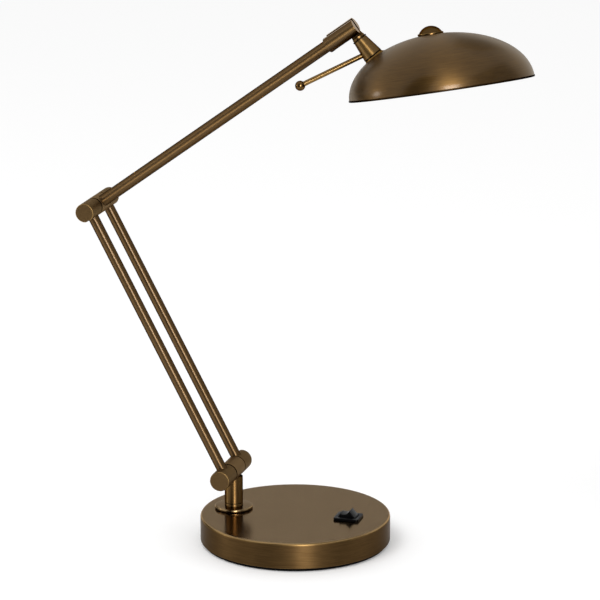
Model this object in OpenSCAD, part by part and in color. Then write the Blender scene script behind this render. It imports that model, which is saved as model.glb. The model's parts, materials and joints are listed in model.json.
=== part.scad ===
// Articulated desk lamp: weighted round base, swivel post, two struts, one arm and a domed head.
// X runs along the arm towards the head, Y across it, Z up; the origin is under the base, on the table.

/* [Base] */
// Diameter of the base shell
base_d = 200; // [190:1:240]
// Height of the base shell
base_h = 27; // [26:0.5:36]
// Wall of the base shell
base_wall = 1.6; // [1.2:0.1:2.2]
// Radius of the shell's top edge
base_edge_r = 2.5; // [2.3:0.1:4]
// Thickness of the pad under the base
pad_h = 3.5; // [2:0.1:5]
// How far the pad stays inside the shell's side
pad_inset = 3; // [2.5:0.1:6]
// Thickness of the bottom plate
plate_t = 1.5; // [1:0.1:2]
// Diameter of the cast weight
weight_d = 170; // [164:1:176]
// Thickness of the cast weight
weight_h = 12; // [8:0.5:12]
// Radius of the circle of plate screws
screw_ring_r = 66; // [60:1:72]
// Diameter of a plate screw
screw_d = 4; // [3:0.5:5]
// Height of the cord inlet above the shell's lower edge
inlet_h = 11; // [9:0.5:13]
// Bore of the cord inlet
inlet_d = 6.6; // [5:0.1:7]

/* [Post] */
// Distance of the post's axis from the base's edge
post_edge = 32.2; // [28:0.1:36]
// Diameter of the post
post_d = 19.3; // [17:0.1:20]
// Diameter of the flange under the post
flange_d = 40.4; // [34:0.2:44]
// Thickness of the flange under the post
flange_h = 3.4; // [2:0.1:4]
// Height of the ring under the post
foot_ring_h = 3.4; // [2:0.1:4]
// Height of the groove between that ring and the post
foot_groove_h = 0.8; // [0.4:0.1:1.2]
// Height of the lower pivot above the base shell's top
lower_pivot_h = 41; // [38:0.5:60]
// Distance of the lower pivot behind the post's axis
knuckle_back = 2.9; // [0:0.1:3.5]
// Diameter of the hollow stud that the post turns on
stud_d = 10; // [8:0.5:11]

/* [Knuckles] */
// Diameter of the lower knuckle's drums
lower_drum_d = 21.2; // [19.2:0.1:24]
// Diameter of the elbow's drums
elbow_drum_d = 19.7; // [19.2:0.1:24]
// Length of a whole knuckle
knuckle_len = 81.6; // [79:0.2:90]
// Front end of the middle drums, measured from the arm's plane
hub_front = 11.3; // [9.5:0.1:12]
// Rear end of the lower middle drum, measured from the arm's plane
lower_hub_rear = 17.2; // [10:0.1:17.4]
// Rear end of the elbow's middle drum, measured from the arm's plane
elbow_hub_rear = 13; // [10:0.1:17.4]
// Chamfer on the drums' edges
drum_chamfer = 0.7; // [0.3:0.1:1]
// Diameter of the pivot bolts
bolt_d = 8; // [6:0.5:8.5]
// Diameter of the pivot bolts' heads
bolt_head_d = 13; // [11:0.5:14]
// Height of the pivot bolts' heads
bolt_head_h = 5; // [3:0.5:5]
// Thickness of the cap over a bolt head
cap_t = 2; // [1:0.1:2.5]
// Thickness of a front friction washer
front_gap = 2; // [0.5:0.1:2.4]
// Thickness of a rear friction washer
rear_gap = 0.6; // [0.5:0.1:0.8]
// Depth of the flat where a tube enters a drum
flat_depth = 0.7; // [0.4:0.1:0.9]
// Depth that a tube goes into a drum
tube_seat = 4; // [3:0.1:4.2]

/* [Struts and arm] */
// Diameter of a strut
strut_d = 11.1; // [9:0.1:11.6]
// Wall of the struts and the arm
tube_wall = 1.2; // [0.8:0.1:1.3]
// Distance between the two pivots of the struts
strut_len = 314.3; // [240:0.1:400]
// Lean of the struts away from the head
strut_lean = 27.5; // [15:0.1:35]
// Distance at which the struts' plane passes the lower pivot
strut_shift = 2; // [0:0.1:3]
// Distance of a strut from the arm's plane
strut_y = 24.25; // [24.2:0.05:26]
// Diameter of the arm
arm_d = 12.4; // [11:0.1:13]
// Length of the arm from the elbow pivot to the fork
arm_len = 309.3; // [240:0.1:400]
// Rise of the arm above level
arm_rise = 36.1; // [20:0.1:45]
// Length of the ferrule at the arm's end
ferrule_len = 11.8; // [8:0.1:16]
// Diameter of the fork's stem
stem_d = 5; // [4:0.1:5.5]

/* [Tilt joint] */
// Diameter of the fork
fork_d = 16.4; // [15:0.1:20]
// Length of the fork
fork_len = 37.4; // [36:0.1:44]
// Depth of the fork's slot
slot_len = 33; // [28:0.1:33]
// How far the fork's rear leg stands above the front one
leg_rise = 1.7; // [0:0.1:2]
// Distance of the tilt screw from the fork's end
screw_back = 6; // [5:0.1:6]
// Diameter of the tilt screw
tilt_screw_d = 4; // [3:0.1:4.2]
// Thickness of the tongue in the fork
tongue_t = 3; // [2.4:0.1:4]
// Thickness of a tilt washer
tilt_washer_t = 0.25; // [0.2:0.05:0.4]
// Diameter of the neck below the tongue
neck_d = 13.6; // [12:0.1:14.4]
// Distance from the tilt screw to the socket cup
neck_len = 13.5; // [13.5:0.1:18]
// Angle of the neck from the arm's line
head_tilt = 85.1; // [60:0.1:88]
// Turn of the head about the neck
head_turn = -14.8; // [-40:0.1:40]

/* [Head] */
// Diameter of the socket cup's top
cup_top_d = 14.6; // [14.4:0.1:16]
// Diameter of the socket cup's mouth
cup_d = 20.6; // [20:0.1:24]
// Length of the socket cup
cup_len = 21; // [20:0.1:26]
// Wall of the socket cup
cup_wall = 1.6; // [1.2:0.1:1.7]
// Height of the shade's collar
collar_h = 1.6; // [1.6:0.1:4]
// Diameter of the shade over its rim
shade_d = 190; // [180:1:220]
// Height of the shade
shade_h = 56.8; // [54:0.2:64]
// Wall of the shade
shade_wall = 1; // [0.8:0.1:1.5]
// Diameter of the rolled rim
rim_d = 2.2; // [1.8:0.1:3]
// Distance of the socket from the shade's axis
socket_r = 63.2; // [60:0.1:64]
// Angle between the socket's axis and the shade's axis
shade_cant = 30.95; // [28:0.05:34]
// Diameter of the finial
finial_d = 26.3; // [20:0.1:30]
// Height of the finial
finial_h = 8.5; // [7:0.1:12]
// Distance of the finial from the shade's axis, towards the socket
finial_off = 3.5; // [0:0.1:5]
// Diameter of the bulb
bulb_d = 13.5; // [13:0.1:15]
// Length of the bulb below its holder
bulb_len = 36; // [32:0.5:37]
// Diameter of the handle's rod
handle_d = 5.2; // [4:0.1:6]
// Distance of the handle's ball from the socket's axis
handle_len = 78.8; // [60:0.1:90]
// Rise of the handle away from the shade
handle_rise = 13.4; // [5:0.1:15]
// Diameter of the handle's ball
ball_d = 10.4; // [8:0.1:14]

/* [Switch] */
// Distance of the switch's middle from the base's edge
switch_edge = 42; // [38:0.5:50]
// Length of the switch's bezel
bezel_l = 27; // [26:0.5:32]
// Width of the switch's bezel
bezel_w = 23.5; // [22:0.5:28]
// Height of the switch's bezel
bezel_h = 2.7; // [2:0.1:4]
// Length of the rocker at its foot
rocker_l = 18.8; // [17:0.1:19]
// Width of the rocker
rocker_w = 13; // [11:0.1:14]
// Height of the rocker's ridges above its pivot
rocker_h = 8; // [6:0.1:10]
// Tilt of the rocker from level, either way
rocker_tilt = 18; // [10:0.5:20]

/* [Hidden] */
$fn = 64;

// Clearances
joint_gap = 0.04;
run_gap = 0.05;
seat_gap = 0.05;
free_gap = 0.4;
cut = 1;
stud_end = 0.5;

// Levels of the base
plate_z = pad_h;
weight_z = plate_z + plate_t;
weight_top = weight_z + weight_h;
base_top = pad_h + base_h;
ceiling_z = base_top - base_wall;
inner_d = base_d - 2 * base_wall;
plate_d = inner_d - 2 * free_gap;
screw_angles = [90, 210, 330];
screw_head_d = 2 * screw_d;
screw_head_h = 0.5 * screw_d;
screw_grip = 6;
screw_len = weight_h + plate_t + screw_grip;
standoff_d = screw_d + 5;
inlet_z = pad_h + inlet_h;
inlet_wall = 1.7;
grommet_d = inlet_d + 2 * inlet_wall;
grommet_flange_d = grommet_d + 4;
grommet_out = 2;
grommet_in = 1.5;

// Places on the base
post_back = base_d / 2 - post_edge;
switch_x = base_d / 2 - switch_edge;

// Levels of the post
post_foot = base_top + flange_h;
pivot_z = base_top + lower_pivot_h;
ring_top = post_foot + foot_ring_h;
post_top = pivot_z - 0.28 * lower_drum_d;
post_bore_len = pivot_z - lower_drum_d / 2 - post_foot;
stud_in = 0.4 * post_bore_len;
spigot_z = post_foot + stud_in + free_gap;
stud_bore_d = 0.6 * stud_d;
stud_washer_t = 1.2;
stud_washer_d = 2 * stud_d;
stud_nut_h = 5;
stud_nut_d = 1.7 * stud_d;
foot_groove_d = post_d - 2;
stud_bottom = ceiling_z - stud_washer_t - stud_nut_h - stud_end;

// Layout of a knuckle
ear_out = knuckle_len / 2;
front_in = hub_front + front_gap;
flat_margin = 0.6;
front_wall = 6;
bolt_front = ear_out - front_wall;
head_y = ear_out - cap_t - bolt_head_h;
cap_d = bolt_head_d + 1;

// Distances from a knuckle's axis to a tube's flat and to its seat
function flat_r(drum_d) = drum_d / 2 - flat_depth;
function seat_r(drum_d) = flat_r(drum_d) - tube_seat;

// Slant of the struts, which pass beside the lower pivot and through the elbow's, and their span
strut_turn = asin(strut_shift / strut_len);
strut_span = strut_len * cos(strut_turn);

// Diameter of the friction washers between drums
function friction_d(drum_d) = drum_d - 2 * drum_chamfer - 2;

// Layout of the arm's end
arm_bore_d = arm_d - 2 * tube_wall;
spigot_len = 14;
stem_washer_t = 0.8;
stem_nut_h = 4;
stem_nut_d = arm_bore_d - 2 * free_gap;
spigot_end = arm_len - ferrule_len - spigot_len;
stem_end = spigot_end - stem_washer_t - stem_nut_h - stud_end;
tilt_at = arm_len + fork_len - screw_back;
slot_z = arm_len + fork_len - slot_len;
slot_w = tongue_t + 2 * tilt_washer_t + 2 * seat_gap;
tilt_washer_d = 2 * tilt_screw_d + 0.4;
tilt_skin = 1.6;

// Layout of the neck
eye_d = tilt_washer_d + 0.2;
tongue_w = neck_d - 1;
neck_flange_d = neck_d + 2.2;
neck_flange_t = 1.2;
neck_collar_h = 2;
neck_flange_z = neck_len - neck_flange_t;
neck_collar_z = neck_flange_z - neck_collar_h;
nipple_d = 7;
nipple_bore_d = 4;
nipple_skin = 0.6;
nipple_in = neck_flange_t + neck_collar_h - nipple_skin;
nipple_washer_t = 0.8;
nipple_nut_h = 3;
nipple_nut_d = cup_top_d - 2 * cup_wall - free_gap;
cup_top_t = 2.2;

// Layout of the socket
holder_d = cup_top_d - 1;
holder_room = 3.5;
holder_z = cup_top_t + nipple_washer_t + nipple_nut_h + holder_room;
holder_out = 5.8;
holder_end = cup_len + holder_out;
holder_flange_d = cup_d - 3;
holder_flange_t = 1.5;
pin_r = 4.5;
pin_d = 1.5;
sleeve_d = 2.6;
sleeve_z = holder_end - 10;
sleeve_len = 8;
pin_z = sleeve_z + 1;
pin_in = 2;
collar_d = cup_d + 6;
collar_spigot_d = holder_d + 3.8;
ring_nut_d = collar_spigot_d + 6.6;
ring_nut_h = 5.4;

// Shape of the shade, an ellipse turned about its short half-axis
dome_steps = 28;
rim_out = 0.5;
dome_a = shade_d / 2 - rim_out;
dome_b = shade_h;
mount_h = dome_b * sqrt(1 - pow(socket_r / dome_a, 2));
mount_s = cup_len + collar_h;
shade_x = -cos(shade_cant) * socket_r + sin(shade_cant) * mount_h;
shade_z = mount_s + sin(shade_cant) * socket_r + cos(shade_cant) * mount_h;
finial_stud_d = 4;
finial_nut_d = 8;
finial_nut_h = 3;
finial_lip_h = 2.2;
finial_lip_w = 0.8;
finial_sink = 1.2;
finial_steps = 12;
finial_nut_z = -shade_wall - free_gap - finial_nut_h;

// Shape of the bulb
bulb_wall = 1;
bulb_foot = 5;
bulb_plug = 3;
filament_z = 0.55 * bulb_len;
filament_r = 3;
lead_d = 0.8;
coil_d = 1.8;

// Place of the handle
handle_s = 16.2;
cup_slope = (cup_d - cup_top_d) / 2 / cup_len;
cup_room_d = cup_top_d - 2 * cup_wall + 2 * cup_slope * cup_top_t;
cup_mouth_d = cup_d - 2 * cup_wall;
handle_out = (cup_top_d / 2 + cup_slope * handle_s) / cos(handle_rise);
handle_seat = 0.9 * cup_wall;

// Layout of the switch
switch_rise = 0.5;
switch_z = base_top + switch_rise;
housing_l = bezel_l - 4;
housing_w = bezel_w - 4;
housing_h = 13;
well_gap = 0.5;
well_l = rocker_l + 2 * well_gap;
well_w = rocker_w + 2 * free_gap;
well_depth = rocker_l / 2;
bezel_r = 2.5;
bezel_step = 0.6;
ridge_x = 0.3 * rocker_l;
rocker_dip = 0.3 * rocker_h;
rocker_foot = 4;
rocker_foot_l = 0.7 * rocker_l;
rocker_side_h = 0.7;
trunnion_d = 3;
trunnion_len = 1.2;
tab_t = 0.8;
tab_w = 4.8;
tab_len = 6;
tab_in = 2;
tab_x = 6;

// Colours
BRASS = [0.42, 0.34, 0.23];
STEEL = [0.72, 0.72, 0.72];
IRON = [0.3, 0.3, 0.31];
BLACK = [0.08, 0.08, 0.08];
WHITE = [0.92, 0.91, 0.87];
CLEAR = [0.85, 0.9, 0.92, 0.5];
COPPER = [0.75, 0.6, 0.3];

// Places of the sub-assemblies

module at_post() translate([-post_back, 0, 0]) children();

module at_lower() translate([-post_back - knuckle_back, 0, pivot_z]) children();

module along_struts() at_lower() rotate([0, -strut_lean, 0]) children();

module along_tubes() at_lower() rotate([0, -strut_lean - strut_turn, 0]) translate([strut_shift, 0, 0]) children();

module at_elbow() along_struts() translate([0, 0, strut_len]) rotate([0, strut_lean, 0]) children();

module along_arm() at_elbow() rotate([0, 90 - arm_rise, 0]) children();

module at_tilt() along_arm() translate([0, 0, tilt_at]) rotate([0, head_tilt, 0]) children();

module in_head() at_tilt() translate([0, 0, neck_len]) rotate([0, 0, head_turn]) children();

module in_shade() in_head() translate([shade_x, 0, shade_z]) rotate([0, 180 + shade_cant, 0]) children();

module on_handle() in_head() translate([0, 0, handle_s]) rotate([0, 90 + handle_rise, 0]) children();

module at_switch() translate([switch_x, 0, 0]) children();

module at_screws() for (a = screw_angles) rotate([0, 0, a]) translate([screw_ring_r, 0, 0]) children();

// Shared shapes

// Rod along Y between two places on it
module y_rod(d, y0, y1) translate([0, y1, 0]) rotate([90, 0, 0]) cylinder(d = d, h = y1 - y0);

// Disc with a rounded upper edge
module rounded_disc(d, h, r) rotate_extrude($fn = 128) {
  square([d / 2 - r, h]);
  square([d / 2, h - r]);
  translate([d / 2 - r, h - r]) circle(r);
}

// Plate with rounded corners, standing on its place
module rounded_plate(l, w, h, r) linear_extrude(h) {
  square([l - 2 * r, w], center = true);
  square([l, w - 2 * r], center = true);
  for (x = [-1, 1], y = [-1, 1]) translate([x * (l / 2 - r), y * (w / 2 - r)]) circle(r);
}

// Tube along Z
module ring(d, bore, h) difference() {
  cylinder(d = d, h = h);
  translate([0, 0, -cut]) cylinder(d = bore, h = h + 2 * cut);
}

// Hexagon nut along Z
module hex_nut(d, bore, h) difference() {
  cylinder(d = d, h = h, $fn = 6);
  translate([0, 0, -cut]) cylinder(d = bore, h = h + 2 * cut);
}

// Drum of a knuckle between two places on Y, with chamfered edges
module drum(drum_d, y0, y1) translate([0, y1, 0]) rotate([90, 0, 0]) rotate_extrude() polygon([
  [0, 0], [drum_d / 2 - drum_chamfer, 0], [drum_d / 2, drum_chamfer],
  [drum_d / 2, y1 - y0 - drum_chamfer], [drum_d / 2 - drum_chamfer, y1 - y0], [0, y1 - y0]
]);

// Space of a tube that enters a drum along Z
module tube_space(drum_d, d) {
  translate([0, 0, seat_r(drum_d)]) cylinder(d = d + 2 * joint_gap, h = drum_d);
  translate([0, 0, flat_r(drum_d)]) cylinder(d = d + 2 * flat_margin, h = drum_d);
}

// Front outer drum, with the blind end of the pivot bolt
module ear_front(drum_d, turn, shift) difference() {
  drum(drum_d, -ear_out, -front_in);
  y_rod(bolt_d + 2 * joint_gap, -bolt_front, 0);
  rotate([0, turn, 0]) translate([shift, -strut_y, 0]) tube_space(drum_d, strut_d);
}

// Rear outer drum, with the room for the bolt's head and its cap
module ear_rear(drum_d, turn, shift, hub_rear) difference() {
  drum(drum_d, hub_rear + rear_gap, ear_out);
  y_rod(bolt_d + 2 * joint_gap, 0, ear_out);
  y_rod(bolt_head_d + 2 * joint_gap, head_y, ear_out);
  y_rod(cap_d + 2 * joint_gap, ear_out - cap_t, ear_out + cut);
  rotate([0, turn, 0]) translate([shift, strut_y, 0]) tube_space(drum_d, strut_d);
}

module pivot_bolt() {
  y_rod(bolt_d, -bolt_front + free_gap, head_y);
  y_rod(bolt_head_d, head_y, ear_out - cap_t);
}

module friction_washers(drum_d, hub_rear) difference() {
  union() {
    y_rod(friction_d(drum_d), -front_in, -hub_front);
    y_rod(friction_d(drum_d), hub_rear, hub_rear + rear_gap);
  }
  y_rod(bolt_d + 2 * run_gap, -ear_out, ear_out);
}

module pivot_cap() y_rod(cap_d, ear_out - cap_t, ear_out);

module strut(y) along_tubes() translate([0, y, seat_r(lower_drum_d)])
  ring(strut_d, strut_d - 2 * tube_wall, strut_span - seat_r(lower_drum_d) - seat_r(elbow_drum_d));

// Screw of the bottom plate, or the room for it
module plate_screw(gap) {
  cylinder(d1 = screw_head_d + 2 * gap, d2 = screw_d + 2 * gap, h = screw_head_h);
  cylinder(d = screw_d + 2 * gap, h = screw_len);
}

// Solid inside the shade's ellipse, grown or shrunk by a step
module dome_solid(step) rotate_extrude($fn = 128) polygon(concat([[0, 0]], dome_line(step)));

function dome_line(step) = [for (i = [0 : dome_steps])
  let (t = 90 * i / dome_steps) [(dome_a + step) * cos(t), (dome_b + step) * sin(t)]];

function reversed(line) = [for (i = [len(line) - 1 : -1 : 0]) line[i]];

// Base

module base_shell() color(BRASS) difference() {
  translate([0, 0, pad_h]) rounded_disc(base_d, base_h, base_edge_r);
  translate([0, 0, pad_h - cut]) rounded_disc(inner_d, base_h - base_wall + cut, base_edge_r - base_wall);
  at_post() cylinder(d = stud_d + 2 * run_gap, h = base_top + cut);
  at_switch() translate([0, 0, ceiling_z])
    cube([housing_l + 2 * joint_gap, housing_w + 2 * joint_gap, base_h], center = true);
  translate([0, 0, inlet_z]) rotate([0, -90, 0]) cylinder(d = grommet_d + 2 * joint_gap, h = base_d);
}

module base_pad() color(BLACK) cylinder(d = base_d - 2 * pad_inset, h = pad_h, $fn = 128);

module base_plate() color(STEEL) difference() {
  translate([0, 0, plate_z]) cylinder(d = plate_d, h = plate_t, $fn = 128);
  at_screws() translate([0, 0, plate_z]) plate_screw(seat_gap);
}

module base_weight() color(IRON) difference() {
  translate([0, 0, weight_z]) cylinder(d = weight_d, h = weight_h, $fn = 128);
  at_screws() translate([0, 0, plate_z]) plate_screw(seat_gap);
  at_switch() translate([0, 0, weight_z]) cube([bezel_l, bezel_w, 3 * weight_h], center = true);
}

module base_standoffs() color(STEEL) at_screws() difference() {
  translate([0, 0, weight_top]) cylinder(d = standoff_d, h = ceiling_z - weight_top);
  translate([0, 0, plate_z]) cylinder(d = screw_d + 2 * joint_gap, h = screw_len + free_gap);
}

module plate_screws() color(STEEL) at_screws() translate([0, 0, plate_z]) plate_screw(0);

module cord_grommet() color(BLACK) translate([0, 0, inlet_z]) rotate([0, -90, 0]) difference() {
  union() {
    translate([0, 0, inner_d / 2 - grommet_in]) cylinder(d = grommet_d, h = base_wall + grommet_in);
    intersection() {
      translate([0, 0, inner_d / 2 - grommet_in]) cylinder(d = grommet_flange_d, h = grommet_in);
      rotate([0, 90, 0]) cylinder(d = inner_d - 2 * seat_gap, h = base_d, center = true, $fn = 128);
    }
    difference() {
      translate([0, 0, inner_d / 2]) cylinder(d = grommet_flange_d, h = base_wall + grommet_out);
      rotate([0, 90, 0]) cylinder(d = base_d + 2 * seat_gap, h = base_d, center = true, $fn = 128);
    }
    translate([0, 0, inner_d / 2]) cylinder(d = grommet_d, h = base_wall + grommet_out);
  }
  cylinder(d = inlet_d, h = base_d);
}

// Switch

module switch_housing() color(BLACK) at_switch() difference() {
  union() {
    translate([0, 0, base_top]) rounded_plate(bezel_l, bezel_w, bezel_h - bezel_step, bezel_r);
    translate([0, 0, base_top])
      rounded_plate(bezel_l - 2 * bezel_step, bezel_w - 2 * bezel_step, bezel_h, bezel_r - bezel_step);
    translate([-housing_l / 2, -housing_w / 2, base_top - housing_h])
      cube([housing_l, housing_w, housing_h]);
  }
  translate([-well_l / 2, -well_w / 2, switch_z - well_depth]) cube([well_l, well_w, base_h]);
  translate([0, 0, switch_z])
    y_rod(trunnion_d + 2 * run_gap, -well_w / 2 - trunnion_len, well_w / 2 + trunnion_len);
  for (x = [-tab_x, tab_x]) tab_box(x, joint_gap);
}

// Terminal tab under the housing, or its slot
module tab_box(x, gap) translate([x - tab_t / 2 - gap, -tab_w / 2 - gap, base_top - housing_h - tab_len])
  cube([tab_t + 2 * gap, tab_w + 2 * gap, tab_len + tab_in + gap]);

module switch_terminals() color(COPPER) at_switch() for (x = [-tab_x, tab_x]) tab_box(x, 0);

module switch_rocker() color(BLACK) translate([switch_x, 0, switch_z]) rotate([0, -rocker_tilt, 0]) {
  translate([0, rocker_w / 2, 0]) rotate([90, 0, 0]) linear_extrude(rocker_w) polygon([
    [-rocker_l / 2, -rocker_side_h], [-ridge_x, rocker_h], [-ridge_x / 2, rocker_h - 0.8 * rocker_dip],
    [0, rocker_h - rocker_dip], [ridge_x / 2, rocker_h - 0.8 * rocker_dip], [ridge_x, rocker_h],
    [rocker_l / 2, -rocker_side_h], [rocker_foot_l / 2, -rocker_foot], [-rocker_foot_l / 2, -rocker_foot]
  ]);
  y_rod(trunnion_d, -rocker_w / 2 - trunnion_len, rocker_w / 2 + trunnion_len);
}

// Post

module post_flange() color(BRASS) at_post() translate([0, 0, base_top]) difference() {
  rounded_disc(flange_d, flange_h, 0.45 * flange_h);
  translate([0, 0, -cut]) cylinder(d = stud_d + 2 * run_gap, h = flange_h + 2 * cut);
}

module post() color(BRASS) difference() {
  at_post() translate([0, 0, ring_top]) ring(post_d, stud_d + 2 * joint_gap, post_top - ring_top);
  at_lower() y_rod(lower_drum_d + 2 * seat_gap, -ear_out, ear_out);
}

module post_ring() color(BRASS) at_post() translate([0, 0, post_foot]) {
  ring(post_d, stud_d + 2 * joint_gap, foot_ring_h - foot_groove_h);
  ring(foot_groove_d, stud_d + 2 * joint_gap, foot_ring_h);
}

module post_stud() color(STEEL) at_post() translate([0, 0, stud_bottom])
  ring(stud_d, stud_bore_d, post_foot + stud_in - stud_bottom);

module post_washer() color(STEEL) at_post() translate([0, 0, ceiling_z - stud_washer_t])
  ring(stud_washer_d, stud_d + 2 * joint_gap, stud_washer_t);

module post_nut() color(STEEL) at_post() translate([0, 0, ceiling_z - stud_washer_t - stud_nut_h])
  hex_nut(stud_nut_d, stud_d + 2 * joint_gap, stud_nut_h);

// Lower knuckle and struts

module lower_hub() color(BRASS) difference() {
  union() {
    at_lower() drum(lower_drum_d, -hub_front, lower_hub_rear);
    at_post() translate([0, 0, spigot_z]) cylinder(d = stud_d, h = pivot_z - spigot_z);
  }
  at_lower() y_rod(bolt_d + 2 * run_gap, -ear_out, ear_out);
}

module lower_ear_front() color(BRASS) at_lower()
  ear_front(lower_drum_d, -strut_lean - strut_turn, strut_shift);

module lower_ear_rear() color(BRASS) at_lower()
  ear_rear(lower_drum_d, -strut_lean - strut_turn, strut_shift, lower_hub_rear);

module lower_bolt() color(STEEL) at_lower() pivot_bolt();

module lower_washers() color(BLACK) at_lower() friction_washers(lower_drum_d, lower_hub_rear);

module lower_cap() color(BRASS) at_lower() pivot_cap();

module strut_front() color(BRASS) strut(-strut_y);

module strut_rear() color(BRASS) strut(strut_y);

// Elbow and arm

module elbow_ear_front() color(BRASS) at_elbow()
  ear_front(elbow_drum_d, 180 - strut_lean - strut_turn, 0);

module elbow_ear_rear() color(BRASS) at_elbow()
  ear_rear(elbow_drum_d, 180 - strut_lean - strut_turn, 0, elbow_hub_rear);

module elbow_bolt() color(STEEL) at_elbow() pivot_bolt();

module elbow_washers() color(BLACK) at_elbow() friction_washers(elbow_drum_d, elbow_hub_rear);

module elbow_cap() color(BRASS) at_elbow() pivot_cap();

module elbow_hub() color(BRASS) difference() {
  at_elbow() drum(elbow_drum_d, -hub_front, elbow_hub_rear);
  at_elbow() y_rod(bolt_d + 2 * run_gap, -ear_out, ear_out);
  along_arm() tube_space(elbow_drum_d, arm_d);
}

module arm_tube() color(BRASS) along_arm() translate([0, 0, seat_r(elbow_drum_d)])
  ring(arm_d, arm_bore_d, arm_len - ferrule_len - seat_r(elbow_drum_d));

module arm_ferrule() color(BRASS) along_arm() translate([0, 0, arm_len - ferrule_len]) difference() {
  union() {
    cylinder(d = arm_d, h = ferrule_len);
    translate([0, 0, -spigot_len]) cylinder(d = arm_bore_d - 2 * joint_gap, h = spigot_len + cut);
  }
  translate([0, 0, -spigot_len - cut])
    cylinder(d = stem_d + 2 * run_gap, h = spigot_len + ferrule_len + 2 * cut);
}

// Fork and tilt screw

module fork() color(BRASS) along_arm() difference() {
  union() {
    translate([0, 0, arm_len]) cylinder(d = fork_d, h = fork_len);
    translate([0, 0, stem_end]) cylinder(d = stem_d, h = arm_len + cut - stem_end);
    translate([-leg_rise, 0, slot_z]) intersection() {
      cylinder(d = fork_d, h = slot_len);
      translate([-fork_d, 0, 0]) cube([2 * fork_d, fork_d, slot_len]);
    }
  }
  translate([-fork_d, -slot_w / 2, slot_z]) cube([2 * fork_d, slot_w, fork_len]);
  translate([0, 0, tilt_at])
    y_rod(tilt_screw_d + 2 * joint_gap, -fork_d / 2 + tilt_skin - free_gap, fork_d);
}

module fork_washer() color(STEEL) along_arm() translate([0, 0, spigot_end - stem_washer_t])
  ring(stem_nut_d, stem_d + 2 * joint_gap, stem_washer_t);

module fork_nut() color(STEEL) along_arm() translate([0, 0, spigot_end - stem_washer_t - stem_nut_h])
  hex_nut(stem_nut_d, stem_d + 2 * joint_gap, stem_nut_h);

module tilt_screw() color(BRASS) along_arm() translate([0, 0, tilt_at])
  y_rod(tilt_screw_d, -fork_d / 2 + tilt_skin, fork_d / 2 - seat_gap);

module tilt_washers() color(STEEL) along_arm() translate([0, 0, tilt_at]) for (side = [-1, 1]) difference() {
  translate([0, side * (slot_w - tilt_washer_t) / 2, 0])
    y_rod(tilt_washer_d, -tilt_washer_t / 2, tilt_washer_t / 2);
  y_rod(tilt_screw_d + 2 * joint_gap, -slot_w, slot_w);
}

// Neck

module tongue() color(BRASS) at_tilt() difference() {
  union() {
    y_rod(eye_d, -tongue_t / 2, tongue_t / 2);
    translate([0, tongue_t / 2, 0]) rotate([90, 0, 0]) linear_extrude(tongue_t) polygon([
      [-eye_d / 2, 0], [eye_d / 2, 0], [tongue_w / 2, neck_collar_z], [tongue_w / 2, neck_flange_z],
      [-tongue_w / 2, neck_flange_z], [-tongue_w / 2, neck_collar_z]
    ]);
    translate([0, 0, neck_collar_z]) cylinder(d = neck_d, h = neck_collar_h);
  }
  y_rod(tilt_screw_d + 2 * run_gap, -tongue_t, tongue_t);
  translate([0, 0, neck_len - nipple_in]) cylinder(d = nipple_d + 2 * joint_gap, h = nipple_in);
}

module neck_flange() color(BRASS) at_tilt() translate([0, 0, neck_flange_z])
  ring(neck_flange_d, nipple_d + 2 * joint_gap, neck_flange_t);

module neck_nipple() color(STEEL) at_tilt() translate([0, 0, neck_len - nipple_in])
  ring(nipple_d, nipple_bore_d, nipple_in + cup_top_t + nipple_washer_t + nipple_nut_h + stud_end);

module neck_washer() color(STEEL) at_tilt() translate([0, 0, neck_len + cup_top_t])
  ring(nipple_nut_d, nipple_d + 2 * joint_gap, nipple_washer_t);

module neck_nut() color(STEEL) at_tilt() translate([0, 0, neck_len + cup_top_t + nipple_washer_t])
  hex_nut(nipple_nut_d, nipple_d + 2 * joint_gap, nipple_nut_h);

// Head

module socket_cup() color(BRASS) difference() {
  in_head() difference() {
    cylinder(d1 = cup_top_d, d2 = cup_d, h = cup_len);
    translate([0, 0, cup_top_t]) cylinder(d1 = cup_room_d, d2 = cup_mouth_d, h = cup_len - cup_top_t);
    translate([0, 0, cup_len - cut]) cylinder(d = cup_mouth_d, h = 2 * cut);
    translate([0, 0, -cut]) cylinder(d = nipple_d + 2 * run_gap, h = cup_top_t + 2 * cut);
  }
  on_handle() cylinder(d = handle_d + 2 * joint_gap, h = handle_len);
}

module shade_collar() color(BRASS) difference() {
  union() {
    difference() {
      in_head() translate([0, 0, cup_len]) cylinder(d1 = cup_d, d2 = collar_d, h = 2 * collar_h);
      in_shade() dome_solid(seat_gap);
    }
    in_head() translate([0, 0, cup_len]) cylinder(d = collar_spigot_d, h = collar_h + ring_nut_h);
  }
  in_head() translate([0, 0, cup_len - cut])
    cylinder(d = holder_flange_d + 2 * joint_gap, h = holder_flange_t + cut);
  in_head() cylinder(d = holder_d + 2 * joint_gap, h = 3 * cup_len);
}

module shade_nut() color(BRASS) intersection() {
  in_head() translate([0, 0, cup_len])
    ring(ring_nut_d, collar_spigot_d + 2 * joint_gap, collar_h + ring_nut_h);
  in_shade() dome_solid(-shade_wall - seat_gap);
}

module shade() color(BRASS) difference() {
  in_shade() rotate_extrude($fn = 128) {
    polygon(concat(dome_line(0), reversed(dome_line(-shade_wall))));
    translate([shade_d / 2 - rim_d / 2, rim_d / 2]) circle(d = rim_d, $fn = 32);
  }
  in_head() cylinder(d = collar_spigot_d + 2 * seat_gap, h = 2 * cup_len);
  at_finial() cylinder(d = finial_stud_d + 2 * seat_gap, h = shade_h, center = true);
}

module at_finial() in_shade() translate([-finial_off, 0, shade_h]) children();

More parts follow.
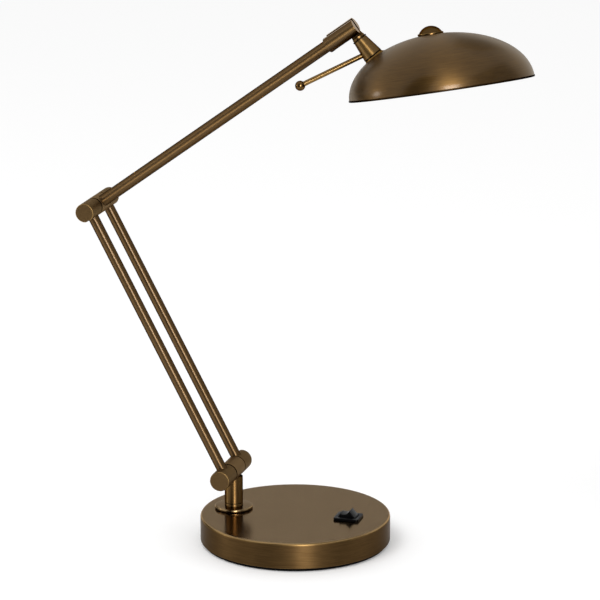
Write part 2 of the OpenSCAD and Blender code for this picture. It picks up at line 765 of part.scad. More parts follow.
module finial() color(BRASS) difference() {
  at_finial() rotate_extrude() polygon(concat(
    [[0, -finial_sink], [finial_d / 2 - finial_lip_w, -finial_sink], [finial_d / 2, 0]],
    [[finial_d / 2, finial_lip_h - finial_lip_w]],
    cap_line(finial_d / 2 - finial_lip_w, finial_h - finial_lip_h, finial_lip_h)
  ));
  in_shade() dome_solid(seat_gap);
  at_finial() translate([0, 0, -finial_sink - cut])
    cylinder(d = finial_stud_d + 2 * joint_gap, h = finial_sink + cut + finial_h / 2);
}

// Line of a round cap of half-width w and height h, standing at a level
function cap_line(w, h, level) = let (r = (w * w + h * h) / (2 * h))
  [for (i = [0 : finial_steps]) let (t = asin(w / r) * (1 - i / finial_steps))
    [r * sin(t), level + h - r + r * cos(t)]];

module finial_stud() color(STEEL) at_finial() translate([0, 0, finial_nut_z - stud_end])
  cylinder(d = finial_stud_d, h = finial_h / 2 - finial_nut_z + stud_end);

module finial_nut() color(STEEL) at_finial() translate([0, 0, finial_nut_z])
  hex_nut(finial_nut_d, finial_stud_d + 2 * joint_gap, finial_nut_h);

// Lampholder and bulb

module at_pins() for (y = [-pin_r, pin_r]) translate([0, y, 0]) children();

module at_leads() for (x = [-filament_r, filament_r]) translate([x, 0, bulb_foot]) children();

module lampholder() color(WHITE) in_head() difference() {
  union() {
    translate([0, 0, holder_z]) cylinder(d = holder_d, h = holder_end - holder_z);
    translate([0, 0, cup_len]) cylinder(d = holder_flange_d, h = holder_flange_t);
  }
  at_pins() translate([0, 0, sleeve_z]) cylinder(d = sleeve_d + 2 * joint_gap, h = cup_len);
}

module holder_contacts() color(COPPER) in_head() at_pins() translate([0, 0, sleeve_z])
  ring(sleeve_d, pin_d + 2 * joint_gap, sleeve_len);

module bulb_base() color(WHITE) in_head() translate([0, 0, holder_end]) difference() {
  union() {
    cylinder(d = bulb_d, h = bulb_foot);
    cylinder(d = bulb_d - 2 * bulb_wall - 2 * joint_gap, h = bulb_foot + bulb_plug);
  }
  at_pins() translate([0, 0, -cut]) cylinder(d = pin_d + 2 * joint_gap, h = cut + pin_in);
  at_leads() cylinder(d = lead_d + 2 * joint_gap, h = bulb_plug + cut);
}

module bulb_pins() color(STEEL) in_head() at_pins() translate([0, 0, pin_z])
  cylinder(d = pin_d, h = holder_end + pin_in - pin_z);

module bulb_glass() color(CLEAR) in_head() translate([0, 0, holder_end + bulb_foot]) difference() {
  capsule(bulb_d, bulb_len - bulb_foot);
  translate([0, 0, -cut]) capsule(bulb_d - 2 * bulb_wall, bulb_len - bulb_foot - bulb_wall + cut);
}

// Rod along Z with a round far end
module capsule(d, h) {
  cylinder(d = d, h = h - d / 2);
  translate([0, 0, h - d / 2]) sphere(d = d);
}

module bulb_filament() color(STEEL) in_head() translate([0, 0, holder_end]) {
  at_leads() cylinder(d = lead_d, h = filament_z - bulb_foot);
  translate([-filament_r - lead_d / 2, 0, filament_z]) rotate([0, 90, 0])
    cylinder(d = coil_d, h = 2 * filament_r + lead_d);
}

// Handle

module handle_rod() color(BRASS) on_handle() translate([0, 0, handle_out - handle_seat])
  cylinder(d = handle_d, h = handle_len - handle_out + handle_seat);

module handle_ball() color(BRASS) on_handle() difference() {
  translate([0, 0, handle_len]) sphere(d = ball_d);
  cylinder(d = handle_d + 2 * joint_gap, h = handle_len + joint_gap);
}

base_shell();
base_pad();
base_plate();
base_weight();
base_standoffs();
plate_screws();
switch_housing();
switch_terminals();
switch_rocker();
cord_grommet();
post_flange();
post();
post_ring();
post_stud();
post_washer();
post_nut();
lower_hub();
lower_ear_front();
lower_ear_rear();
lower_bolt();
lower_washers();
lower_cap();
strut_front();
strut_rear();
elbow_ear_front();
elbow_ear_rear();
elbow_bolt();
elbow_washers();
elbow_cap();
elbow_hub();
arm_tube();
arm_ferrule();
fork();
fork_washer();
fork_nut();
tilt_screw();
tilt_washers();
tongue();
neck_flange();
neck_nipple();
neck_washer();
neck_nut();
socket_cup();
shade_collar();
shade_nut();
shade();
finial();
finial_stud();
finial_nut();
lampholder();
holder_contacts();
bulb_glass();
bulb_base();
bulb_pins();
bulb_filament();
handle_rod();
handle_ball();
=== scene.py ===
"""Looks of an articulated desk lamp in antique brass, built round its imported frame."""
import json
import logging
import math
from dataclasses import dataclass
from enum import Enum
from typing import Callable, Optional, Sequence

import bpy
import numpy as np
from mathutils import Matrix, Vector

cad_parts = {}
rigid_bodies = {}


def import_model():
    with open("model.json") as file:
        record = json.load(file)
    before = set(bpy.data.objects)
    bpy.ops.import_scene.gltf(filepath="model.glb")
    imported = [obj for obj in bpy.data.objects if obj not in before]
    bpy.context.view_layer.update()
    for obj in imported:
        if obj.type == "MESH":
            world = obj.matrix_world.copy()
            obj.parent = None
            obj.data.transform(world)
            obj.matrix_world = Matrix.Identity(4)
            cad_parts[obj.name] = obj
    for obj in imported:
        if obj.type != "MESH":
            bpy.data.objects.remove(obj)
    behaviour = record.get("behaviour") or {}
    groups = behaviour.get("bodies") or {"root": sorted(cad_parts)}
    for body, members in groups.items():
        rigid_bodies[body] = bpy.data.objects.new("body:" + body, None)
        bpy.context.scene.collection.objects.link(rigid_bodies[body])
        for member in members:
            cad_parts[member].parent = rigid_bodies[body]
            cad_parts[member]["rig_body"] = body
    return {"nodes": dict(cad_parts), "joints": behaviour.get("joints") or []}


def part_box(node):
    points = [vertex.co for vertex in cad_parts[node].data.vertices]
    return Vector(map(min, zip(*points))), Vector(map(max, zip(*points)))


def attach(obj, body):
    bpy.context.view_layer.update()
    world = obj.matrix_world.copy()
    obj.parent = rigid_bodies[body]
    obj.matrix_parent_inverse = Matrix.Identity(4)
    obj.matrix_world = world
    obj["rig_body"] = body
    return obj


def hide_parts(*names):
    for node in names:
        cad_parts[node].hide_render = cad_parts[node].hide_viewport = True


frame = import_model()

LOG = logging.getLogger("desk_lamp")
MM = 0.001
FULL_TURN = 2 * math.pi
MERGE_DISTANCE = 1e-6
GRAIN = "grain"
GRAIN_UV = "grain_uv"
# Attribute with bare gold that is partly a painted highlight, and dark patina that is partly painted shade
WEAR_AND_PAINTED_LIGHT = "wear_and_painted_light"

Colour = tuple[float, float, float]
Spot = tuple[float, float, float]
Outline = list["Corner"]
Piece = bpy.types.Object
Face = bpy.types.MeshPolygon
Socket = bpy.types.NodeSocket

# Sizes that several pieces share, in millimetres
BASE_HEIGHT = 30.5
STRUT_D = 11.1
STRUT_Y = 24.25
ARM_D = 12.4
FORK_START = 309.3

# How much wider a hole is than what sits in it, in millimetres
FIT = 0.08

# How far a cutter reaches past what it cuts, in millimetres
REACH = 5.0

# Points nearer to the axis than this lie on it, in millimetres
AXIS_WIDTH = 1e-5

# Share of a side that a rounding may take
ROUNDING_ROOM = 0.45

# Distance of a rounding's support points from its corner, in lengths of the rounding
SUPPORT_REACH = 1.6

# Local Z runs along +Y, across the arm
ACROSS = Matrix.Rotation(-math.pi / 2, 4, "X")


def srgb(red: int, green: int, blue: int) -> Colour:
    """Turns a screen colour into linear light.

    Args:
        red: Red from 0 to 255.
        green: Green from 0 to 255.
        blue: Blue from 0 to 255.

    Returns:
        The three linear values.
    """
    shares = [value / 255 for value in (red, green, blue)]
    return tuple(s / 12.92 if s <= 0.04045 else ((s + 0.055) / 1.055) ** 2.4 for s in shares)


# Outlines of turned pieces


@dataclass(frozen=True)
class Corner:
    """A corner of a turned outline, in millimetres.

    Attributes:
        r: Distance from the axis.
        z: Place along the axis.
        fillet: Radius that rounds the corner, or 0 for a plain point.
        wear_and_painted_light: Up to 1, how far the patina is gone to bare gold, which on edges is also a
            painted highlight;
        down to -1, how dark the patina is, which in gaps and grooves is also painted shade. A fillet has it
        in its middle.
    """

    r: float
    z: float
    fillet: float = 0.0
    wear_and_painted_light: float = 0.0


def arc(centre: tuple[float, float], half: tuple[float, float], start: float, end: float,
        steps: int) -> Outline:
    """Lists points of an arc of an ellipse or a circle.

    Args:
        centre: Its centre's distance from the axis and place along the axis.
        half: Its half-axes away from the axis and along it.
        start: First angle in degrees, from the outward direction towards +Z.
        end: Last angle in degrees.
        steps: Number of chords.

    Returns:
        The points as plain corners.
    """
    angles = [math.radians(start + (end - start) * i / steps) for i in range(steps + 1)]
    return [Corner(centre[0] + half[0] * math.cos(a), centre[1] + half[1] * math.sin(a)) for a in angles]


def rounded(corner: Corner, before: Corner, after: Corner, steps: int = 5) -> Outline:
    """Rounds one corner of an outline with an arc.

    Args:
        corner: The corner.
        before: The corner before it.
        after: The corner after it.
        steps: Number of chords in the arc.

    Returns:
        The points that take the corner's place.
    """
    place = Vector((corner.r, corner.z))
    back = Vector((before.r, before.z)) - place
    ahead = Vector((after.r, after.z)) - place
    room = ROUNDING_ROOM * min(back.length, ahead.length)
    back.normalize()
    ahead.normalize()
    half = back.angle(ahead) / 2
    reach = min(corner.fillet / math.tan(half), room)
    radius = reach * math.tan(half)
    centre = place + (back + ahead).normalized() * (radius / math.sin(half))
    support = min(SUPPORT_REACH * reach, room)
    points = [Corner(*(place + back * support))] if support > reach else []
    first = place + back * reach - centre
    last = place + ahead * reach - centre
    sweep = first.angle_signed(last)
    for i in range(steps + 1):
        share = i / steps
        spoke = Matrix.Rotation(-sweep * share, 2) @ first
        points.append(Corner(*(centre + spoke), wear_and_painted_light=corner.wear_and_painted_light * math.sin(math.pi * share) ** 2))
    if support > reach:
        points.append(Corner(*(place + ahead * support)))
    return points


def flowing(corners: Outline, closed: bool) -> Outline:
    """Rounds every corner of an outline that has a fillet.

    Args:
        corners: The outline's corners.
        closed: Whether the last corner joins the first.

    Returns:
        The outline's points, with the first one again at the end where it is closed.
    """
    points: Outline = []
    count = len(corners)
    for i, corner in enumerate(corners):
        inner = closed or 0 < i < count - 1
        if corner.fillet and inner:
            points += rounded(corner, corners[i - 1], corners[(i + 1) % count])
        else:
            points.append(corner)
    return points + points[:1] if closed else points


# Modelling steps


def clear_selection() -> None:
    """Leaves edit mode and deselects everything."""
    if bpy.context.object and bpy.context.object.mode != "OBJECT":
        bpy.ops.object.mode_set(mode="OBJECT")
    bpy.ops.object.select_all(action="DESELECT")


def choose(piece: Piece) -> None:
    """Makes one object the only selected and active one.

    Args:
        piece: The object.
    """
    clear_selection()
    piece.select_set(True)
    bpy.context.view_layer.objects.active = piece


def start_point(name: str, place: Vector) -> Piece:
    """Adds a plane, merges it to one point and stays in edit mode.

    Args:
        name: Name of the new object.
        place: Where the point is, in metres.

    Returns:
        The new object.
    """
    clear_selection()
    bpy.ops.mesh.primitive_plane_add(size=MM)
    piece = bpy.context.object
    piece.name = name
    bpy.ops.object.mode_set(mode="EDIT")
    bpy.ops.mesh.select_all(action="SELECT")
    bpy.ops.mesh.merge(type="CENTER")
    bpy.ops.transform.translate(value=place)
    return piece


def draw_line(places: Sequence[Vector]) -> None:
    """Extrudes the selected point along a line of places.

    Args:
        places: The places in metres, of which the first is where the point is.
    """
    for here, there in zip(places, places[1:]):
        bpy.ops.mesh.extrude_region_move(TRANSFORM_OT_translate={"value": there - here})


def close_mesh() -> None:
    """Merges doubles, turns the faces outwards and leaves edit mode."""
    bpy.ops.mesh.select_all(action="SELECT")
    bpy.ops.mesh.remove_doubles(threshold=MERGE_DISTANCE)
    bpy.ops.mesh.normals_make_consistent(inside=False)
    bpy.ops.object.mode_set(mode="OBJECT")


def turn(name: str, corners: Outline, steps: int = 64, closed: bool = True) -> Piece:
    """Turns an outline about Z, as on a lathe.

    Args:
        name: Name of the new piece.
        corners: The outline in millimetres.
        steps: Number of steps round the axis.
        closed: Whether the outline is a loop; otherwise its two ends lie on the axis.

    Returns:
        The turned piece, with its brushing written on it.
    """
    points = flowing(corners, closed)
    places = [Vector((p.r, 0, p.z)) * MM for p in points]
    piece = start_point(name, places[0])
    draw_line(places)
    bpy.ops.mesh.select_all(action="SELECT")
    bpy.ops.mesh.spin(steps=steps, angle=FULL_TURN, center=(0, 0, 0), axis=(0, 0, 1))
    close_mesh()
    write_brushing(piece, points)
    return piece


def sleeve(name: str, bore: float, radius: float, start: float, end: float,
           edges: tuple[float, float] = (0.0, 0.0), wear_and_painted_light: tuple[float, float] = (0.0, 0.0),
           steps: int = 64) -> Piece:
    """Turns a plain round piece, solid or with a bore.

    Args:
        name: Name of the new piece.
        bore: Its inner radius in millimetres, or 0.
        radius: Its outer radius.
        start: Where it starts along Z.
        end: Where it ends.
        edges: Rounding of its two outer edges.
        wear_and_painted_light: Gold of these edges, also a painted highlight, above 0; dark patina and
            painted shade below 0.
        steps: Number of steps round the axis.

    Returns:
        The piece about Z.
    """
    outline = [
        Corner(bore, start), Corner(radius, start, edges[0], wear_and_painted_light[0]),
        Corner(radius, end, edges[1], wear_and_painted_light[1]), Corner(bore, end),
    ]
    return turn(name, outline, steps, closed=bore > 0)


def write_brushing(piece: Piece, points: Outline) -> None:
    """Writes where each point lies round and along a turned outline, and its gold, dark patina, painted
    highlight and painted shade.

    Args:
        piece: The turned piece, still about Z.
        points: The outline that it was turned from.
    """
    mesh = piece.data
    places = np.array([v.co for v in mesh.vertices]) / MM
    line = np.array([(p.r, p.z) for p in points])
    away = np.hypot(places[:, 0], places[:, 1])
    flat = np.stack([away, places[:, 2]], axis=1)
    nearest = np.linalg.norm(flat[:, None] - line[None], axis=2).argmin(axis=1)
    steps = np.linalg.norm(np.diff(line, axis=0), axis=1)
    along = np.concatenate([[0], np.cumsum(steps)])[nearest]
    spread = np.maximum(away, AXIS_WIDTH)
    off_axis = away > AXIS_WIDTH
    grain = np.stack([places[:, 0] / spread, places[:, 1] / spread, along], axis=1)
    grain[~off_axis, :2] = 0
    wear_and_painted_light = np.array([p.wear_and_painted_light for p in points])[nearest]
    mesh.attributes.new(GRAIN, "FLOAT_VECTOR", "POINT").data.foreach_set("vector", grain.ravel())
    mesh.attributes.new(WEAR_AND_PAINTED_LIGHT, "FLOAT", "POINT").data.foreach_set("value", wear_and_painted_light)
    turns = np.arctan2(places[:, 1], places[:, 0]) / FULL_TURN
    uv = mesh.uv_layers.new(name=GRAIN_UV).data
    for face in mesh.polygons:
        corners = list(face.vertices)
        known = [turns[v] for v in corners if off_axis[v]]
        wraps = max(known) - min(known) > 0.5
        known = [t + 1 if wraps and t < 0 else t for t in known]
        middle = sum(known) / len(known)
        for loop, vertex in zip(face.loop_indices, corners):
            share = turns[vertex] if off_axis[vertex] else middle
            share += 1 if wraps and off_axis[vertex] and share < 0 else 0
            uv[loop].uv = (along[vertex] * MM, share)


def put(piece: Piece, place: Matrix) -> Piece:
    """Moves a piece to its place and writes that into its mesh.

    Args:
        piece: The piece.
        place: Its place, in metres.

    Returns:
        The same piece.
    """
    choose(piece)
    piece.matrix_world = place @ piece.matrix_world
    bpy.ops.object.transform_apply(location=True, rotation=True, scale=True)
    return piece


def carve(piece: Piece, *cutters: Piece) -> None:
    """Cuts other shapes out of a piece and removes them.

    Args:
        piece: The piece.
        cutters: The shapes that are cut out.
    """
    choose(piece)
    for cutter in cutters:
        modifier = piece.modifiers.new("cut", "BOOLEAN")
        modifier.operation = "DIFFERENCE"
        modifier.solver = "EXACT"
        modifier.object = cutter
        bpy.ops.object.modifier_apply(modifier=modifier.name)
        bpy.data.objects.remove(cutter)


def soften(piece: Piece, width: float, degrees: float = 40, segments: int = 2) -> None:
    """Rounds a piece's sharp edges a little.

    Args:
        piece: The piece.
        width: Width of the rounding in millimetres.
        degrees: Edges that turn by more than this are rounded.
        segments: Number of faces across the rounding.
    """
    choose(piece)
    modifier = piece.modifiers.new("soften", "BEVEL")
    modifier.width = width * MM
    modifier.segments = segments
    modifier.limit_method = "ANGLE"
    modifier.angle_limit = math.radians(degrees)
    bpy.ops.object.modifier_apply(modifier=modifier.name)


def rod(diameter: float, start: float, end: float, place: Matrix) -> Piece:
    """Makes a round cutter along Z.

    Args:
        diameter: Its diameter in millimetres.
        start: Where it starts along Z.
        end: Where it ends.
        place: Its frame.

    Returns:
        The cutter.
    """
    clear_selection()
    middle = (start + end) / 2 * MM
    bpy.ops.mesh.primitive_cylinder_add(
        vertices=64, radius=diameter / 2 * MM, depth=(end - start) * MM, location=(0, 0, middle))
    return put(bpy.context.object, place)


def block(low: Sequence[float], high: Sequence[float], place: Matrix) -> Piece:
    """Makes a box between two corners.

    Args:
        low: Its lowest corner in millimetres.
        high: Its highest corner.
        place: Its frame.

    Returns:
        The box.
    """
    clear_selection()
    low_corner = Vector(low) * MM
    high_corner = Vector(high) * MM
    bpy.ops.mesh.primitive_cube_add(size=1, location=(low_corner + high_corner) / 2)
    box = bpy.context.object
    box.scale = high_corner - low_corner
    return put(box, place)


def join(piece: Piece, other: Piece) -> None:
    """Joins another mesh into a piece.

    Args:
        piece: The piece.
        other: The mesh's object, which goes.
    """
    choose(piece)
    other.select_set(True)
    bpy.ops.object.join()


# Finishes


# Range that most soft random values keep to
NOISE_RANGE = (0.3, 0.7)

# Height of a full step in a surface's relief, in metres
RELIEF_HEIGHT = 0.05 * MM

# Index of refraction of the lacquer, high enough for a pale highlight without pale edges
LACQUER_IOR = 3.0

# Frequencies of a surface's clouds and specks, in a metre
BRASS_CLOUDS = 38.0
BRASS_SPECKS = 600.0
PLAIN_CLOUDS = 60.0
GLASS_STREAKS = 90.0


class Brushing(Enum):
    """How fine lines run in a metal's surface, with their frequency round a turned outline and along it."""

    AROUND = (3.0, 3.0, 1.0)
    NONE = None


class Nodes:
    """Adds and links the nodes of one material or world."""

    def __init__(self, owner: bpy.types.ID) -> None:
        """Starts with the nodes that every new material or world has.

        Args:
            owner: The material or world.
        """
        owner.use_nodes = True
        self.owner = owner
        self.tree = owner.node_tree

    @property
    def shader(self) -> bpy.types.Node:
        """The material's own shader."""
        return self.tree.nodes["Principled BSDF"]

    def add(self, kind: str, **settings) -> bpy.types.Node:
        """Adds a node.

        Args:
            kind: The node's type.
            settings: Properties to set on it.

        Returns:
            The node.
        """
        node = self.tree.nodes.new(kind)
        for key, value in settings.items():
            setattr(node, key, value)
        return node

    def link(self, source: Socket, target: Socket) -> None:
        """Links an output to an input."""
        self.tree.links.new(source, target)

    def feed(self, key: str, source: Socket) -> None:
        """Links an output to one of the shader's sockets."""
        self.link(source, self.shader.inputs[key])

    def set(self, **values) -> None:
        """Sets the shader's own sockets, with underscores for the spaces in their names."""
        for key, value in values.items():
            socket = self.shader.inputs[key.replace("_", " ")]
            socket.default_value = (*value, 1) if isinstance(value, tuple) else value

    def object_place(self) -> Socket:
        """Gives the place on the object."""
        return self.add("ShaderNodeTexCoord").outputs["Object"]

    def attribute(self, name: str, output: str) -> Socket:
        """Gives one of the mesh's own attributes."""
        return self.add("ShaderNodeAttribute", attribute_name=name).outputs[output]

    def scaled(self, vector: Socket, scale: Sequence[float]) -> Socket:
        """Stretches a place.

        Args:
            vector: The place.
            scale: The factor for each axis.

        Returns:
            The stretched place.
        """
        node = self.add("ShaderNodeMapping")
        node.inputs["Scale"].default_value = scale
        self.link(vector, node.inputs["Vector"])
        return node.outputs["Vector"]

    def noise(self, vector: Socket, scale: float, detail: float) -> Socket:
        """Gives a soft random value.

        Args:
            vector: Where it is read.
            scale: Its frequency.
            detail: Its finer layers.

        Returns:
            The value, about 0.5.
        """
        node = self.add("ShaderNodeTexNoise")
        node.inputs["Scale"].default_value = scale
        node.inputs["Detail"].default_value = detail
        self.link(vector, node.inputs["Vector"])
        return node.outputs[0]

    def spread(self, value: Socket, target: tuple, source: tuple = NOISE_RANGE) -> Socket:
        """Moves a value from one range to another.

        Args:
            value: The value.
            target: What the lowest and the highest value become.
            source: The lowest and the highest value.

        Returns:
            The new value.
        """
        node = self.add("ShaderNodeMapRange")
        for key, number in zip(("From Min", "From Max", "To Min", "To Max"), (*source, *target)):
            node.inputs[key].default_value = number
        self.link(value, node.inputs["Value"])
        return node.outputs["Result"]

    def joined(self, operation: str, one: Socket, other: Socket) -> Socket:
        """Works out one value from two.

        Args:
            operation: What is done with them.
            one: The first value.
            other: The second value.

        Returns:
            The result.
        """
        node = self.add("ShaderNodeMath", operation=operation)
        self.link(one, node.inputs[0])
        self.link(other, node.inputs[1])
        return node.outputs[0]

    def blend(self, share: Socket, low: object, high: object) -> Socket:
        """Mixes two colours.

        Args:
            share: How much of the second one shows.
            low: A colour or an output.
            high: A colour or an output.

        Returns:
            The mixed colour.
        """
        node = self.add("ShaderNodeMix", data_type="RGBA")
        self.link(share, node.inputs[0])
        for socket, colour in ((node.inputs[6], low), (node.inputs[7], high)):
            if isinstance(colour, tuple):
                socket.default_value = (*colour, 1)
            else:
                self.link(colour, socket)
        return node.outputs[2]

    def bump(self, height: Socket, strength: float) -> None:
        """Lets a value raise the surface.

        Args:
            height: The value.
            strength: How strongly it shows.
        """
        node = self.add("ShaderNodeBump")
        node.inputs["Strength"].default_value = strength
        node.inputs["Distance"].default_value = RELIEF_HEIGHT
        self.link(height, node.inputs["Height"])
        self.feed("Normal", node.outputs["Normal"])

    def looked_at(self) -> Socket:
        """Gives 1 where the camera, a mirror or glass looks, and otherwise 0.

        Returns:
            The value.
        """
        path = self.add("ShaderNodeLightPath").outputs
        polished = self.joined("MAXIMUM", path["Is Glossy Ray"], path["Is Transmission Ray"])
        return self.joined("MAXIMUM", path["Is Camera Ray"], polished)


@dataclass(frozen=True)
class Brass:
    """Antique brass: a brown patina, lighter in its brush lines, gold on edges as bare metal and painted
    highlight, and dark in grooves as patina and painted shade.

    Attributes:
        name: Name of the material.
        light: Colour where the patina is thin.
        dark: Colour where it is thick.
        gold: Colour where the patina is gone, which on edges is also a painted highlight.
        patina_and_shade: Colour of dark patina and painted shade in grooves and gaps.
        roughness: Least and most roughness.
        brushing: How the brush lines run.
        lines: Brush lines in a millimetre.
        anisotropy: How far a highlight spreads across the lines.
        edge: Tint of the metal at a flat angle.
        lacquer: Weight of the clear lacquer.
        lacquer_rough: Roughness of the lacquer.
        rubbed_and_highlit: How much of the gold shows on edges, as bare metal and painted highlight.
        relief: Strength of the brush lines' relief.
    """

    name: str
    light: Colour
    dark: Colour
    # Gold of bare edges, also a painted highlight; near black for dark patina and painted shade in grooves
    # and gaps
    gold: Colour = srgb(196, 158, 98)
    patina_and_shade: Colour = srgb(16, 11, 6)
    roughness: tuple[float, float] = (0.2, 0.3)
    brushing: Brushing = Brushing.AROUND
    lines: float = 1.6
    anisotropy: float = 0.0
    edge: Colour = (0.5, 0.45, 0.4)
    lacquer: float = 0.0
    lacquer_rough: float = 0.2
    rubbed_and_highlit: float = 0.6
    relief: float = 0.1

    def material(self) -> bpy.types.Material:
        """Makes the material.

        Returns:
            The material.
        """
        nodes = Nodes(bpy.data.materials.new(self.name))
        place = nodes.object_place()
        clouds = nodes.noise(place, BRASS_CLOUDS, 4.0)
        if self.brushing is Brushing.NONE:
            lines = nodes.noise(place, BRASS_SPECKS, 3.0)
        else:
            stretch = tuple(factor * self.lines for factor in self.brushing.value)
            lines = nodes.noise(nodes.scaled(nodes.attribute(GRAIN, "Vector"), stretch), 1.0, 4.0)
        thin_lines = nodes.spread(lines, (0.0, 1.0))
        thin = nodes.joined("MULTIPLY", thin_lines, nodes.spread(clouds, (0.6, 1.0)))
        patina = nodes.blend(thin, self.dark, self.light)
        # Above 0 the gold paints bare edges and a highlight; below 0 the near black paints dark patina and
        # shade
        wear_and_painted_light = nodes.attribute(WEAR_AND_PAINTED_LIGHT, "Fac")
        patches = nodes.spread(clouds, (0.5, 1.0), (0.3, 0.6))
        worn_and_highlit = nodes.joined("MULTIPLY", nodes.spread(wear_and_painted_light, (0.0, self.rubbed_and_highlit), (0.0, 1.0)), patches)
        painted_shade_share = nodes.spread(wear_and_painted_light, (1.0, 0.0), (-1.0, 0.0))
        colour = nodes.blend(painted_shade_share, nodes.blend(worn_and_highlit, patina, self.gold), self.patina_and_shade)
        nodes.feed("Base Color", colour)
        nodes.feed("Roughness", nodes.spread(lines, self.roughness))
        nodes.bump(lines, self.relief)
        nodes.set(Metallic=1.0, Specular_Tint=self.edge, Anisotropic=self.anisotropy,
                  Coat_Weight=self.lacquer, Coat_Roughness=self.lacquer_rough, Coat_IOR=LACQUER_IOR)
        if self.anisotropy:
            tangent = nodes.add("ShaderNodeTangent", direction_type="UV_MAP", uv_map=GRAIN_UV)
            nodes.feed("Tangent", tangent.outputs[0])
        return nodes.owner


@dataclass(frozen=True)
class Plain:
    """A finish with two near colours and a fine relief.

    Attributes:
        name: Name of the material.
        light: Its lighter colour.
        dark: Its darker colour.
        roughness: Least and most roughness.
        metallic: Share of metal.
        grain: Frequency of its relief, per metre.
        relief: Strength of its relief.
        gloss: Level of its reflections.
    """

    name: str
    light: Colour
    dark: Colour
    roughness: tuple[float, float]
    metallic: float = 0.0
    grain: float = 1500.0
    relief: float = 0.15
    gloss: float = 0.5

    def material(self) -> bpy.types.Material:
        """Makes the material.

        Returns:
            The material.
        """
        nodes = Nodes(bpy.data.materials.new(self.name))
        place = nodes.object_place()
        specks = nodes.noise(place, self.grain, 2.0)
        clouds = nodes.noise(place, PLAIN_CLOUDS, 3.0)
        nodes.feed("Base Color", nodes.blend(nodes.spread(clouds, (0.0, 1.0)), self.dark, self.light))
        nodes.feed("Roughness", nodes.spread(specks, self.roughness))
        nodes.bump(specks, self.relief)
        nodes.set(Metallic=self.metallic, Specular_IOR_Level=self.gloss)
        return nodes.owner


@dataclass(frozen=True)
class ClearGlass:
    """Clear lamp glass with faint streaks.

    Attributes:
        name: Name of the material.
    """

    name: str

    def material(self) -> bpy.types.Material:
        """Makes the material.

        Returns:
            The material.
        """
        nodes = Nodes(bpy.data.materials.new(self.name))
        streaks = nodes.noise(nodes.object_place(), GLASS_STREAKS, 2.0)
        nodes.feed("Roughness", nodes.spread(streaks, (0.02, 0.06)))
        nodes.set(Base_Color=(0.97, 0.98, 0.98), Transmission_Weight=1.0, IOR=1.47)
        return nodes.owner


